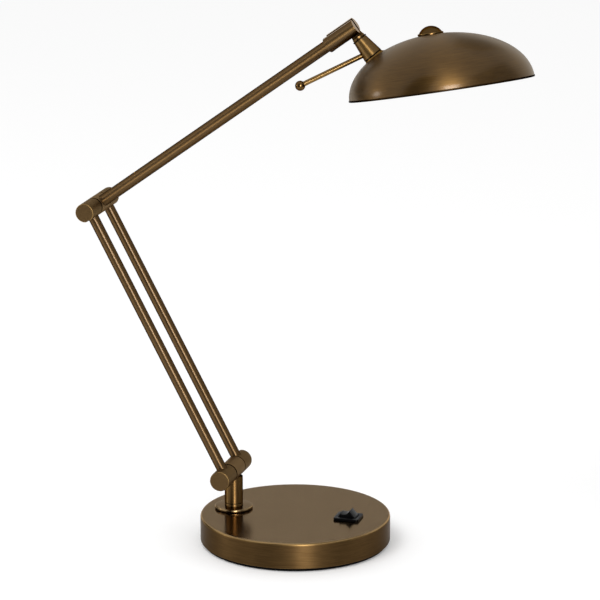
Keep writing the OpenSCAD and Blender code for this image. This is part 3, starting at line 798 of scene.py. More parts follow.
class Finish(Enum):
    """Every finish of the lamp."""

    # The base's top and the flange take a lighter, greyer brass than the wall: painted light on the top,
    # painted shade on the wall
    BASE_TOP = Brass("brass_base_top", srgb(122, 105, 80), srgb(104, 87, 64), roughness=(0.14, 0.2),
                     edge=(0.92, 0.8, 0.68), rubbed_and_highlit=0.6)
    BASE_WALL = Brass("brass_base_wall", srgb(92, 70, 42), srgb(70, 52, 29), roughness=(0.38, 0.44),
                      anisotropy=0.85, edge=(0.6, 0.58, 0.56), rubbed_and_highlit=0.5)
    POST = Brass("brass_drawn_post", srgb(118, 92, 56), srgb(104, 79, 46), roughness=(0.4, 0.44),
                 anisotropy=0.96, edge=(0.0, 0.0, 0.0), relief=0.05)
    TUBE = Brass("brass_drawn_tube", srgb(104, 80, 48), srgb(93, 70, 41), roughness=(0.43, 0.45),
                 anisotropy=0.94, edge=(0.0, 0.0, 0.0), lacquer=0.028, lacquer_rough=0.18, relief=0.03)
    # The handle's brass is lighter than the tubes', a painted highlight along the rod
    HANDLE = Brass("brass_bright_handle", srgb(132, 104, 62), srgb(128, 100, 60), roughness=(0.3, 0.3),
                   anisotropy=0.9, edge=(0.0, 0.0, 0.0), relief=0.02)
    FORK = Brass("brass_turned_fork", srgb(104, 80, 48), srgb(92, 70, 41), roughness=(0.42, 0.46),
                 anisotropy=0.95, edge=(0.1, 0.08, 0.06), lacquer=0.035, lacquer_rough=0.2, relief=0.03)
    CUP = Brass("brass_turned_cup", srgb(126, 98, 56), srgb(112, 86, 48), roughness=(0.46, 0.5),
                anisotropy=0.92, edge=(0.1, 0.08, 0.06), lacquer=0.03, lacquer_rough=0.2, relief=0.03)
    # Paler brass on the legs' ends, and a painted highlight on the rear leg's bevel and the front leg's top
    CUT_END = Brass("brass_pale_end_and_highlight", srgb(160, 140, 116), srgb(142, 122, 100), roughness=(0.3, 0.4),
                    edge=(1.0, 0.95, 0.9))
    DRUM = Brass("brass_satin_drum", srgb(100, 79, 51), srgb(84, 65, 41), roughness=(0.46, 0.54),
                 edge=(0.8, 0.7, 0.58), relief=0.05)
    HUB = Brass("brass_satin_hub", srgb(118, 95, 66), srgb(100, 79, 53), roughness=(0.46, 0.54),
                edge=(0.8, 0.7, 0.58), relief=0.05)
    POLISHED = Brass("brass_polished", srgb(106, 81, 48), srgb(84, 62, 34), roughness=(0.1, 0.16),
                     edge=(0.3, 0.26, 0.22))
    FINIAL = Brass("brass_turned_finial", srgb(88, 67, 40), srgb(70, 52, 29), roughness=(0.22, 0.28),
                   edge=(0.4, 0.34, 0.28))
    # The collar's brass is lighter than the shade's, partly a painted reflection of the cup
    COLLAR = Brass("brass_bright_collar", srgb(122, 93, 50), srgb(104, 78, 41), roughness=(0.34, 0.42),
                   edge=(0.6, 0.5, 0.4))
    SHADE = Brass("brass_spun_shade", srgb(95, 71, 37), srgb(76, 55, 27), roughness=(0.42, 0.47),
                  anisotropy=0.7, edge=(1.0, 0.94, 0.84), lacquer=0.05, lacquer_rough=0.18)
    # Dark brass painted as shade: on the shade's rolled rim, in the fork's slot and on the neck flange
    RIM = Brass("brass_painted_shade", srgb(48, 34, 18), srgb(32, 23, 12), roughness=(0.3, 0.4),
                edge=(0.2, 0.2, 0.2))
    PLAIN_BRASS = Brass("brass_plain", srgb(104, 80, 48), srgb(80, 60, 34), roughness=(0.24, 0.34),
                        brushing=Brushing.NONE)
    STEEL = Plain("zinc_steel", srgb(176, 176, 172), srgb(150, 150, 148), (0.3, 0.45), 1.0)
    IRON = Plain("cast_iron", srgb(74, 72, 70), srgb(52, 50, 49), (0.6, 0.8), 0.6, 500.0, 0.5)
    PAD = Plain("rubber_pad", srgb(13, 13, 14), srgb(7, 7, 8), (0.7, 0.9), 0.0, 900.0, 0.4, gloss=0.05)
    PLASTIC = Plain("black_plastic", srgb(11, 11, 12), srgb(7, 7, 8), (0.26, 0.36), 0.0, 2600.0, 0.08,
                    gloss=0.1)
    CERAMIC = Plain("white_ceramic", srgb(232, 229, 220), srgb(222, 218, 206), (0.35, 0.5), 0.0, 700.0,
                    0.1)
    CONTACT = Plain("brass_contact", srgb(214, 180, 110), srgb(190, 152, 84), (0.25, 0.4), 1.0)
    TUNGSTEN = Plain("tungsten", srgb(120, 120, 124), srgb(90, 90, 94), (0.4, 0.5), 1.0)
    GLASS = ClearGlass("clear_glass")


_materials: dict[Finish, bpy.types.Material] = {}


def finish_material(finish: Finish) -> bpy.types.Material:
    """Gives a finish's material, made once.

    Args:
        finish: The finish.

    Returns:
        Its material.
    """
    if finish not in _materials:
        _materials[finish] = finish.value.material()
    return _materials[finish]


def dress(piece: Piece, node: str, finish: Finish, degrees: float = 35) -> None:
    """Smooths a piece, gives it its finish and lets it stand for a node of the frame.

    Args:
        piece: The finished piece.
        node: The node that it replaces and whose body it rides on.
        finish: Its finish.
        degrees: Edges that turn by more than this stay sharp.
    """
    choose(piece)
    bpy.ops.object.shade_smooth_by_angle(angle=math.radians(degrees))
    piece.data.materials.clear()
    piece.data.materials.append(finish_material(finish))
    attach(piece, frame["nodes"][node]["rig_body"])
    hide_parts(node)
    LOG.info("%s: %d faces, %s", piece.name, len(piece.data.polygons), finish.name.lower())


def repaint(piece: Piece, finish: Finish, chosen: Callable[[Face], bool]) -> None:
    """Gives some faces of a dressed piece another finish.

    Args:
        piece: The piece.
        finish: The other finish.
        chosen: Says whether a face has it.
    """
    piece.data.materials.append(finish_material(finish))
    index = len(piece.data.materials) - 1
    for face in piece.data.polygons:
        if chosen(face):
            face.material_index = index


# Places that the frame gives

JOINTS = {joint["name"]: joint for joint in frame["joints"]}


def joint_place(name: str) -> Vector:
    """Gives a joint's place in metres."""
    return Vector(JOINTS[name]["pos_m"])


def along(start: Vector, way: Vector) -> Matrix:
    """Gives a frame at a place in the arm's plane, with its Z along a way.

    Args:
        start: The place.
        way: The direction of its Z.

    Returns:
        The frame.
    """
    return Matrix.Translation(start) @ Matrix.Rotation(math.atan2(way.x, way.z), 4, "Y")


POST_AT = Matrix.Translation((joint_place("post_swivel").x, 0, 0))
LOWER_AT = Matrix.Translation(joint_place("lower_hinge"))
ELBOW_AT = Matrix.Translation(joint_place("elbow_hinge"))
STRUT_SHIFT = 2.0 * MM
STRUT_LINE = joint_place("elbow_hinge") - joint_place("lower_hinge")
STRUT_TURN = math.asin(STRUT_SHIFT / STRUT_LINE.length)
STRUT_SLANT = Matrix.Rotation(-STRUT_TURN, 4, "Y")
STRUT_FOOT = Matrix.Translation((STRUT_SHIFT, 0, 0))
STRUTS_AT = along(joint_place("lower_hinge"), STRUT_LINE) @ STRUT_SLANT @ STRUT_FOOT
STRUTS_BACK = along(joint_place("elbow_hinge"), -STRUT_LINE) @ STRUT_SLANT
ARM_AT = along(joint_place("elbow_hinge"), joint_place("head_tilt") - joint_place("elbow_hinge"))
NECK_AT = along(joint_place("neck_swivel"), Vector(JOINTS["neck_swivel"]["axis"]))


def beside(place: Matrix, side: int) -> Matrix:
    """Moves a frame from the arm's plane to a strut's, in front for -1 and behind for 1."""
    return Matrix.Translation((0, side * STRUT_Y * MM, 0)) @ place


# Sub-assemblies


@dataclass
class Base:
    """Weighted round base with its pad, in millimetres.

    Attributes:
        radius: Radius of the shell.
        foot: Height of the shell's lower edge.
        top: Height of the shell's top.
        wall: Wall of the shell.
        edge: Rounding of the top edge.
        foot_edges: Rounding of the lower edge, outside and inside.
        pad_edges: Rounding of the pad's upper and lower edge.
        rings: Radii of the rings of points on the flat top.
        inlet_z: Height of the cord inlet.
        inlet_d: Hole for the cord inlet's grommet.
        housing: Half length and half width of the switch's body.
        stud_d: Hole for the post's stud.
    """

    radius: float = 100.0
    foot: float = 3.5
    top: float = BASE_HEIGHT
    wall: float = 1.6
    edge: float = 2.5
    foot_edges: tuple[float, float] = (0.5, 0.4)
    pad_edges: tuple[float, float] = (0.3, 0.6)
    rings: tuple[float, ...] = (0, 4, 15, 40, 70)
    inlet_z: float = 14.5
    inlet_d: float = 10.08
    housing: tuple[float, float] = (11.54, 9.79)
    stud_d: float = 10.1

    def shell(self) -> None:
        """Builds the brass shell."""
        inner = self.radius - self.wall
        ceiling = self.top - self.wall
        outside, inside = self.foot_edges
        rings = [Corner(r, self.top) for r in self.rings]
        # The top edge and the lower edge get gold, partly a painted highlight
        piece = turn("base_cover", [
            *rings, Corner(self.radius, self.top, self.edge, 0.8),
            Corner(self.radius, self.foot, outside, 1.0), Corner(inner, self.foot, inside),
            Corner(inner, ceiling, self.edge - self.wall), Corner(0, ceiling),
        ], steps=192, closed=False)
        half_l, half_w = self.housing
        inlet = Matrix.Translation((0, 0, self.inlet_z * MM)) @ Matrix.Rotation(-math.pi / 2, 4, "Y")
        switch_at = Matrix.Translation((joint_place("rocker_tilt").x, 0, 0))
        low, high = ceiling - REACH, self.top + REACH
        carve(piece,
              rod(self.stud_d, low, high, POST_AT),
              rod(self.inlet_d, inner - REACH, self.radius + REACH, inlet),
              block((-half_l, -half_w, low), (half_l, half_w, high), switch_at))
        dress(piece, "base_shell", Finish.BASE_TOP)
        # Faces that don't face up take the darker wall brass, as painted shade
        repaint(piece, Finish.BASE_WALL, lambda face: face.normal.z < 0.5)

    def pad(self) -> None:
        """Builds the rubber pad under the shell."""
        low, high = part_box("base_pad")
        top, foot = high.z / MM, low.z / MM
        piece = sleeve("base_foot_pad", 0, high.x / MM, top, foot, self.pad_edges, steps=160)
        dress(piece, "base_pad", Finish.PAD)

    def build(self) -> None:
        """Builds the base."""
        self.shell()
        self.pad()


@dataclass
class Switch:
    """Rocker switch on the base's top, in millimetres.

    Attributes:
        top: Height of the base's top.
        bezel: Length, width and height of the bezel.
        corner: Radius of the bezel's corners.
        body: Length, width and depth of the body under the top.
        well: Length and width of the rocker's well.
        well_floor: Depth of the well below the pivot.
        rocker_l: Length of the rocker at its widest place.
        widest: Depth of that place below the pivot.
        foot: Length of the rocker's foot and its depth below the pivot.
        rocker_w: Width of the rocker.
        ridge_x: Distance of its two ridges from the middle.
        ridge_h: Height of the ridges above the pivot.
        dip: Depth of the hollow between them.
        tilt: Its tilt at rest in degrees.
    """

    top: float = BASE_HEIGHT
    bezel: tuple[float, float, float] = (27.0, 23.5, 2.7)
    corner: float = 2.5
    body: tuple[float, float, float] = (23.0, 19.5, 13.0)
    well: tuple[float, float] = (19.8, 13.8)
    well_floor: float = 9.4
    rocker_l: float = 18.8
    widest: float = 0.7
    foot: tuple[float, float] = (13.16, 4.0)
    rocker_w: float = 13.0
    ridge_x: float = 5.64
    ridge_h: float = 8.0
    dip: float = 2.4
    tilt: float = 18.0

    def slab(self, size: Sequence[float], low: float, high: float) -> Piece:
        """Makes a block about the switch's middle.

        Args:
            size: Its length and width.
            low: Height of its lower face.
            high: Height of its upper face.

        Returns:
            The block.
        """
        half_l, half_w = size[0] / 2, size[1] / 2
        place = Matrix.Translation((joint_place("rocker_tilt").x, 0, 0))
        return block((-half_l, -half_w, low), (half_l, half_w, high), place)

    def round_corners(self, piece: Piece) -> None:
        """Rounds the upright edges of the bezel.

        Args:
            piece: The bezel.
        """
        choose(piece)
        bpy.ops.object.mode_set(mode="EDIT")
        bpy.ops.mesh.select_mode(type="EDGE")
        bpy.ops.mesh.select_all(action="DESELECT")
        bpy.ops.object.mode_set(mode="OBJECT")
        for edge in piece.data.edges:
            one, other = (piece.data.vertices[v].co for v in edge.vertices)
            edge.select = abs(one.z - other.z) > MM
        bpy.ops.object.mode_set(mode="EDIT")
        bpy.ops.mesh.bevel(offset=self.corner * MM, segments=6)
        bpy.ops.mesh.select_mode(type="VERT")
        bpy.ops.object.mode_set(mode="OBJECT")

    def frame(self) -> None:
        """Builds the bezel with its body."""
        floor = joint_place("rocker_tilt").z / MM - self.well_floor
        piece = self.slab(self.bezel, self.top, self.top + self.bezel[2])
        piece.name = "switch_bezel"
        self.round_corners(piece)
        carve(piece, self.slab(self.well, floor, self.top + REACH))
        soften(piece, 0.5, segments=3)
        body = self.slab(self.body, self.top - self.body[2], self.top)
        carve(body, self.slab(self.well, floor, self.top + REACH))
        join(piece, body)
        dress(piece, "switch_housing", Finish.PLASTIC)

    def rocker(self) -> None:
        """Builds the rocker with its hollow top."""
        half = self.rocker_l / 2
        hollow_steps = 10
        hollow = []
        for i in range(hollow_steps + 1):
            x = self.ridge_x * (2 * i / hollow_steps - 1)
            drop = self.dip * (1 - (x / self.ridge_x) ** 2)
            hollow.append((x, self.ridge_h - drop))
        foot = self.foot[0] / 2
        depth = self.foot[1]
        side = [(-half, -self.widest), *hollow, (half, -self.widest), (foot, -depth), (-foot, -depth)]
        side.append(side[0])
        places = [Vector((x, -self.rocker_w / 2, z)) * MM for x, z in side]
        piece = start_point("switch_key", places[0])
        draw_line(places)
        bpy.ops.mesh.select_all(action="SELECT")
        bpy.ops.mesh.remove_doubles(threshold=MERGE_DISTANCE)
        bpy.ops.mesh.edge_face_add()
        bpy.ops.mesh.extrude_region_move(TRANSFORM_OT_translate={"value": (0, self.rocker_w * MM, 0)})
        close_mesh()
        soften(piece, 0.45, segments=3)
        tilt = Matrix.Rotation(math.radians(-self.tilt), 4, "Y")
        put(piece, Matrix.Translation(joint_place("rocker_tilt")) @ tilt)
        dress(piece, "switch_rocker", Finish.PLASTIC)

    def build(self) -> None:
        """Builds the switch."""
        self.frame()
        self.rocker()


@dataclass
class Post:
    """Swivel post with its flange and foot ring, in millimetres.

    Attributes:
        top: Height of the base's top.
        radius: Radius of the post.
        bore: Radius of its bore.
        flange_r: Radius of the flange.
        flange_h: Thickness of the flange.
        ring_h: Height of the foot ring with its groove.
        groove_r: Radius in the groove above the foot ring.
        groove_h: Height of the groove.
        edge: Rounding of the ring's and the post's edges.
        saddle_d: Diameter of the drum that the post's top fits.
        saddle_z: How far the post's top stays below that drum's axis.
    """

    top: float = BASE_HEIGHT
    radius: float = 9.65
    bore: float = 5.04
    flange_r: float = 20.2
    flange_h: float = 3.4
    ring_h: float = 3.4
    groove_r: float = 8.65
    groove_h: float = 0.8
    edge: float = 0.3
    saddle_d: float = 21.3
    saddle_z: float = 5.94

    def build(self) -> None:
        """Builds the flange, the ring and the post."""
        foot = self.top + self.flange_h
        # Flange: lower edge darkened as painted shade where it meets the base, upper edge gold, partly
        # painted highlight
        flange = sleeve("post_flange_disc", self.bore, self.flange_r, self.top, foot,
                        edges=(0.4 * self.flange_h, 0.5 * self.flange_h), wear_and_painted_light=(-0.8, 0.5), steps=96)
        dress(put(flange, POST_AT), "post_flange", Finish.BASE_TOP)
        ring_top = foot + self.ring_h
        lip = ring_top - self.groove_h
        # Foot ring: darkened at its foot and in its groove as painted shade, gold on its lip, partly
        # painted highlight
        ring = turn("post_foot_ring", [
            Corner(self.bore, foot), Corner(self.radius, foot, self.edge, -1.0),
            Corner(self.radius, lip, self.edge, 0.6), Corner(self.groove_r, lip, wear_and_painted_light=-1.0),
            Corner(self.groove_r, ring_top, wear_and_painted_light=-1.0), Corner(self.bore, ring_top),
        ], steps=72)
        dress(put(ring, POST_AT), "post_ring", Finish.POST)
        top = joint_place("lower_hinge").z / MM - self.saddle_z
        # The tube's lower edge gets gold, partly a painted highlight
        tube = sleeve("post_tube", self.bore, self.radius, ring_top, top, edges=(self.edge, 0.0),
                      wear_and_painted_light=(0.6, 0.0), steps=72)
        put(tube, POST_AT)
        carve(tube, rod(self.saddle_d, -3 * self.radius, 3 * self.radius, LOWER_AT @ ACROSS))
        dress(tube, "post", Finish.POST)


@dataclass
class Knuckle:
    """Three drums in a row across the arm, on one bolt, in millimetres.

    Attributes:
        name: Name of the knuckle, with which its nodes start.
        place: Its pivot's frame.
        struts: Frame whose Z runs out along the struts.
        radius: Radius of the drums.
        hub_rear: Rear end of the middle drum.
        edge: Rounding of the drums' edges.
        out: Distance of the outer ends from the arm's plane.
        hub_front: Front end of the middle drum.
        front_gap: Gap in front of the middle drum.
        rear_gap: Gap behind it.
        play: Play between the middle drum and its washers.
        cap_d: Diameter of the cap over the bolt's head.
        cap_t: Thickness of the cap.
        cap_edge: Rounding of the cap's edge.
        flat_depth: Depth of the flat where a tube enters a drum.
        tube_seat: Depth that a tube goes into a drum.
        flat_margin: Width of the flat round a tube.
        rings: Radii of the rings of points on a drum's ends.
    """

    name: str
    place: Matrix
    struts: Matrix
    radius: float
    hub_rear: float
    edge: float = 0.9
    out: float = 40.8
    hub_front: float = 11.3
    front_gap: float = 2.0
    rear_gap: float = 0.6
    play: float = 0.02
    cap_d: float = 14.0
    cap_t: float = 2.0
    cap_edge: float = 0.5
    flat_depth: float = 0.7
    tube_seat: float = 4.0
    flat_margin: float = 0.6
    rings: tuple[float, ...] = (0, 1, 4)

    def drum(self, name: str, start: float, end: float) -> Piece:
        """Turns one drum, with gold outer edges that are partly painted highlight, and dark patina and
        painted shade where it meets another drum.

        Args:
            name: Name of the piece.
            start: Its front end across the arm.
            end: Its rear end.

        Returns:
            The drum in its place.
        """
        step = self.edge
        face = [Corner(r, start) for r in self.rings]
        back = [Corner(r, end) for r in reversed(self.rings)]
        # Gold on the outer edge is partly a painted highlight; next to a gap the edge is darkened as
        # painted shade
        front = [Corner(self.radius, start, step, 0.8)]
        if start > -self.out:
            front = [
                Corner(self.radius - step, start, wear_and_painted_light=-1.0),
                Corner(self.radius - 0.3 * step, start + 0.3 * step, wear_and_painted_light=-1.0),
                Corner(self.radius, start + step, wear_and_painted_light=0.6), Corner(self.radius, start + 1.8 * step),
            ]
        # Same at the rear end: gold edge partly painted highlight, edge by a gap darkened as painted shade
        rear = [Corner(self.radius, end, step, 0.5)]
        if end < self.out:
            rear = [
                Corner(self.radius, end - 1.9 * step), Corner(self.radius, end - 1.1 * step, wear_and_painted_light=0.5),
                Corner(self.radius - 0.2 * step, end - 0.8 * step, wear_and_painted_light=-1.0),
                Corner(self.radius - step, end, wear_and_painted_light=-1.0),
            ]
        piece = turn(name, [*face, *front, *rear, *back], steps=96, closed=False)
        return put(piece, self.place @ ACROSS)

    def socket(self, piece: Piece, tube: Matrix, diameter: float, outward: int = 0) -> None:
        """Cuts the flat and the hole where a tube enters a drum.

        Args:
            piece: The drum.
            tube: Frame of the tube, from the pivot.
            diameter: Diameter of the tube.
            outward: -1 for a flat that runs on to the drum's front end, 1 for one that runs on to its rear
                end, 0 for a round one.
        """
        far = 2 * self.radius
        flat = self.radius - self.flat_depth
        wide = diameter / 2 + self.flat_margin
        if outward:
            across = sorted((outward * far, -outward * wide))
            carve(piece, block((-far, across[0], flat), (far, across[1], far), tube))
        else:
            carve(piece, rod(2 * wide, flat, far, tube))
        carve(piece, rod(diameter + FIT, flat - self.tube_seat, far, tube))

    def build(self, arm: Optional[Matrix] = None) -> None:
        """Builds the drums and the cap.

        Args:
            arm: Frame of the arm, if it enters the middle drum.
        """
        pivot = self.place @ ACROSS
        front = (-self.out, -self.hub_front - self.front_gap)
        rear = (self.hub_rear + self.rear_gap, self.out)
        cap_foot = self.out - self.cap_t
        for word, ends, side in (("front", front, -1), ("rear", rear, 1)):
            ear = self.drum(f"{self.name}_drum_{word}", *ends)
            self.socket(ear, beside(self.struts, side), STRUT_D, outward=side)
            if side == 1:
                carve(ear, rod(self.cap_d + FIT, cap_foot, self.out + REACH, pivot))
            dress(ear, f"{self.name}_ear_{word}", Finish.DRUM)
        cap = sleeve(f"{self.name}_bolt_cap", 0, self.cap_d / 2, cap_foot, self.out, (0.0, self.cap_edge))
        dress(put(cap, pivot), f"{self.name}_cap", Finish.POLISHED)
        middle = (-self.hub_front + self.play, self.hub_rear - self.play)
        hub = self.drum(f"{self.name}_drum_middle", *middle)
        if arm is not None:
            self.socket(hub, arm, ARM_D)
        dress(hub, f"{self.name}_hub", Finish.HUB)


@dataclass
class Tubes:
    """The two struts, the arm and its ferrule, in millimetres.

    Attributes:
        wall: Wall of the tubes.
        edge: Rounding of their ends.
        lower_seat: Distance of a strut's end from the lower pivot.
        elbow_seat: Distance of a tube's end from the elbow's pivot.
        ferrule_len: Length of the ferrule.
        stem_d: Bore of the ferrule.
    """

    wall: float = 1.2
    edge: float = 0.25
    lower_seat: float = 5.9
    elbow_seat: float = 5.15
    ferrule_len: float = 11.8
    stem_d: float = 5.1

    def build(self) -> None:
        """Builds the struts, the arm and the ferrule."""
        span = STRUT_LINE.length / MM * math.cos(STRUT_TURN)
        seam = FORK_START - self.ferrule_len
        strut_r = STRUT_D / 2
        arm_r = ARM_D / 2
        strut = (strut_r - self.wall, strut_r, self.lower_seat, span - self.elbow_seat)
        arm = (arm_r - self.wall, arm_r, self.elbow_seat, seam)
        ferrule = (self.stem_d / 2, arm_r, seam, FORK_START)
        for name, node, size, place in (
                ("strut_front_tube", "strut_front", strut, beside(STRUTS_AT, -1)),
                ("strut_rear_tube", "strut_rear", strut, beside(STRUTS_AT, 1)),
                ("arm_drawn_tube", "arm_tube", arm, ARM_AT),
                ("arm_end_ferrule", "arm_ferrule", ferrule, ARM_AT)):
            piece = sleeve(name, *size, edges=(self.edge, self.edge), steps=72)
            dress(put(piece, place), node, Finish.TUBE)


@dataclass
class TiltJoint:
    """Slotted fork at the arm's end with its cross screw, in millimetres.

    Attributes:
        start: Distance of the fork from the elbow.
        length: Length of the fork.
        radius: Radius of the fork.
        slot_w: Width of its slot.
        slot_len: Depth of its slot.
        leg_rise: How far its rear leg, a piece of its own, stands above the front one.
        screw_back: Distance of the screw from the fork's end.
        screw_d: Diameter of the screw.
        screw_ends: Front and rear end of the screw across the arm.
        screw_room: Room in the hole in front of the screw.
        screw_edge: Rounding of the screw's ends.
        driver: Width and depth of the screw's driver slot.
        bevel: Half width of the tool that bevels the rear leg's upper edge in the slot.
        edges: Rounding of the fork's start and of its legs' ends.
        core_r: Radius of the ring of points on the fork's ends.
        top_w: Distance from the arm's plane of the outer edge of the strip on the front leg's top that is
            painted pale as a highlight.
    """

    start: float = FORK_START
    length: float = 37.4
    radius: float = 8.2
    slot_w: float = 3.6
    slot_len: float = 33.0
    leg_rise: float = 1.7
    screw_back: float = 6.0
    screw_d: float = 4.0
    screw_ends: tuple[float, float] = (-6.6, 8.15)
    screw_room: float = 0.4
    screw_edge: float = 0.3
    driver: tuple[float, float] = (0.9, 0.8)
    bevel: float = 0.6
    edges: tuple[float, float] = (0.9, 0.5)
    core_r: float = 2.5
    top_w: float = 3.4

    @property
    def end(self) -> float:
        """Distance of the fork's end from the elbow."""
        return self.start + self.length

    @property
    def root(self) -> float:
        """Distance of the slot's root from the elbow."""
        return self.end - self.slot_len

    @property
    def far(self) -> float:
        """Length that reaches past the fork on all sides."""
        return 2 * self.radius

    @property
    def screw_at(self) -> Matrix:
        """Frame of the cross screw, with its Z across the arm."""
        return ARM_AT @ Matrix.Translation((0, 0, (self.end - self.screw_back) * MM)) @ ACROSS

    def screw_hole(self) -> Piece:
        """Makes the cutter for the cross screw's hole."""
        return rod(self.screw_d + FIT, self.screw_ends[0] - self.screw_room, self.far, self.screw_at)

    def front_leg(self) -> Piece:
        """Turns the fork and cuts away all behind its front leg.

        Returns:
            The fork without its rear leg.
        """
        start_edge, end_edge = self.edges
        # The fork's start and end edges get gold, partly a painted highlight
        piece = turn("tilt_fork", [
            Corner(0, self.start), Corner(self.core_r, self.start),
            Corner(self.radius, self.start, start_edge, 0.4), Corner(self.radius, self.end, end_edge, 0.7),
            Corner(self.core_r, self.end), Corner(0, self.end),
        ], steps=96, closed=False)
        put(piece, ARM_AT)
        side = self.slot_w / 2
        high = self.end + self.far
        behind = block((-self.far, -side, self.root), (self.far, self.far, high), ARM_AT)
        carve(piece, behind, self.screw_hole())
        return piece

    def rear_leg(self) -> Piece:
        """Makes the rear leg with its bevel.

        Returns:
            The leg.
        """
        edge = self.edges[1]
        # The rear leg's end edge gets gold, partly a painted highlight
        piece = sleeve("tilt_fork_leg", 0, self.radius, self.root, self.end, edges=(edge, edge),
                       wear_and_painted_light=(0.0, 0.7), steps=96)
        put(piece, ARM_AT @ Matrix.Translation((-self.leg_rise * MM, 0, 0)))
        side = self.slot_w / 2
        ridge = math.sqrt(self.radius ** 2 - side ** 2) + self.leg_rise
        groove_at = ARM_AT @ Matrix.Translation((-ridge * MM, side * MM, 0))
        groove_at = groove_at @ Matrix.Rotation(math.radians(45), 4, "Z")
        low, high = self.root - self.far, self.end + self.far
        carve(piece,
              block((-self.far, -self.far, low), (self.far, side, high), ARM_AT),
              block((-self.bevel, -self.bevel, low), (self.bevel, self.bevel, high), groove_at),
              self.screw_hole())
        return piece

    def in_slot(self, face: Face) -> bool:
        """Says whether a face of the fork lies in its slot."""
        spot = ARM_AT.inverted() @ face.center / MM
        return spot.z > self.root - 0.1 and abs(spot.y) < self.slot_w / 2 + 0.05

    def is_end_or_highlit(self, face: Face) -> bool:
        """Says whether a face of the fork is a leg's end, the rear leg's bevel or the front leg's top
        strip, all painted paler.

        Args:
            face: The face.

        Returns:
            Whether it is one of them.
        """
        to_fork = ARM_AT.inverted()
        spot = to_fork @ face.center / MM
        normal = to_fork.to_3x3() @ face.normal
        side = self.slot_w / 2
        on_end = normal.z > 0.8 and spot.z > self.end - 1
        on_bevel = spot.x < 0 and normal.y < -0.5 and normal.x < -0.5 and spot.y > side
        on_top = normal.x < -0.9 and -self.top_w < spot.y < -side
        return on_end or spot.z > self.root and (on_bevel or on_top)

    def screw(self) -> None:
        """Builds the cross screw with its driver slot."""
        front, rear = self.screw_ends
        width, depth = self.driver
        piece = sleeve("tilt_cross_screw", 0, self.screw_d / 2, front, rear,
                       edges=(self.screw_edge, self.screw_edge), steps=48)
        put(piece, self.screw_at)
        low = (-self.far, -width / 2, rear - depth)
        high = (self.far, width / 2, rear + REACH)
        carve(piece, block(low, high, self.screw_at))
        dress(piece, "tilt_screw", Finish.POLISHED)

    def build(self) -> None:
        """Builds the fork and the screw."""
        fork = self.front_leg()
        join(fork, self.rear_leg())
        dress(fork, "fork", Finish.FORK)
        # Paler ends, and a painted highlight on the bevel and the front leg's top
        repaint(fork, Finish.CUT_END, self.is_end_or_highlit)
        # The slot's faces take dark brass as painted shade
        repaint(fork, Finish.RIM, self.in_slot)
        self.screw()


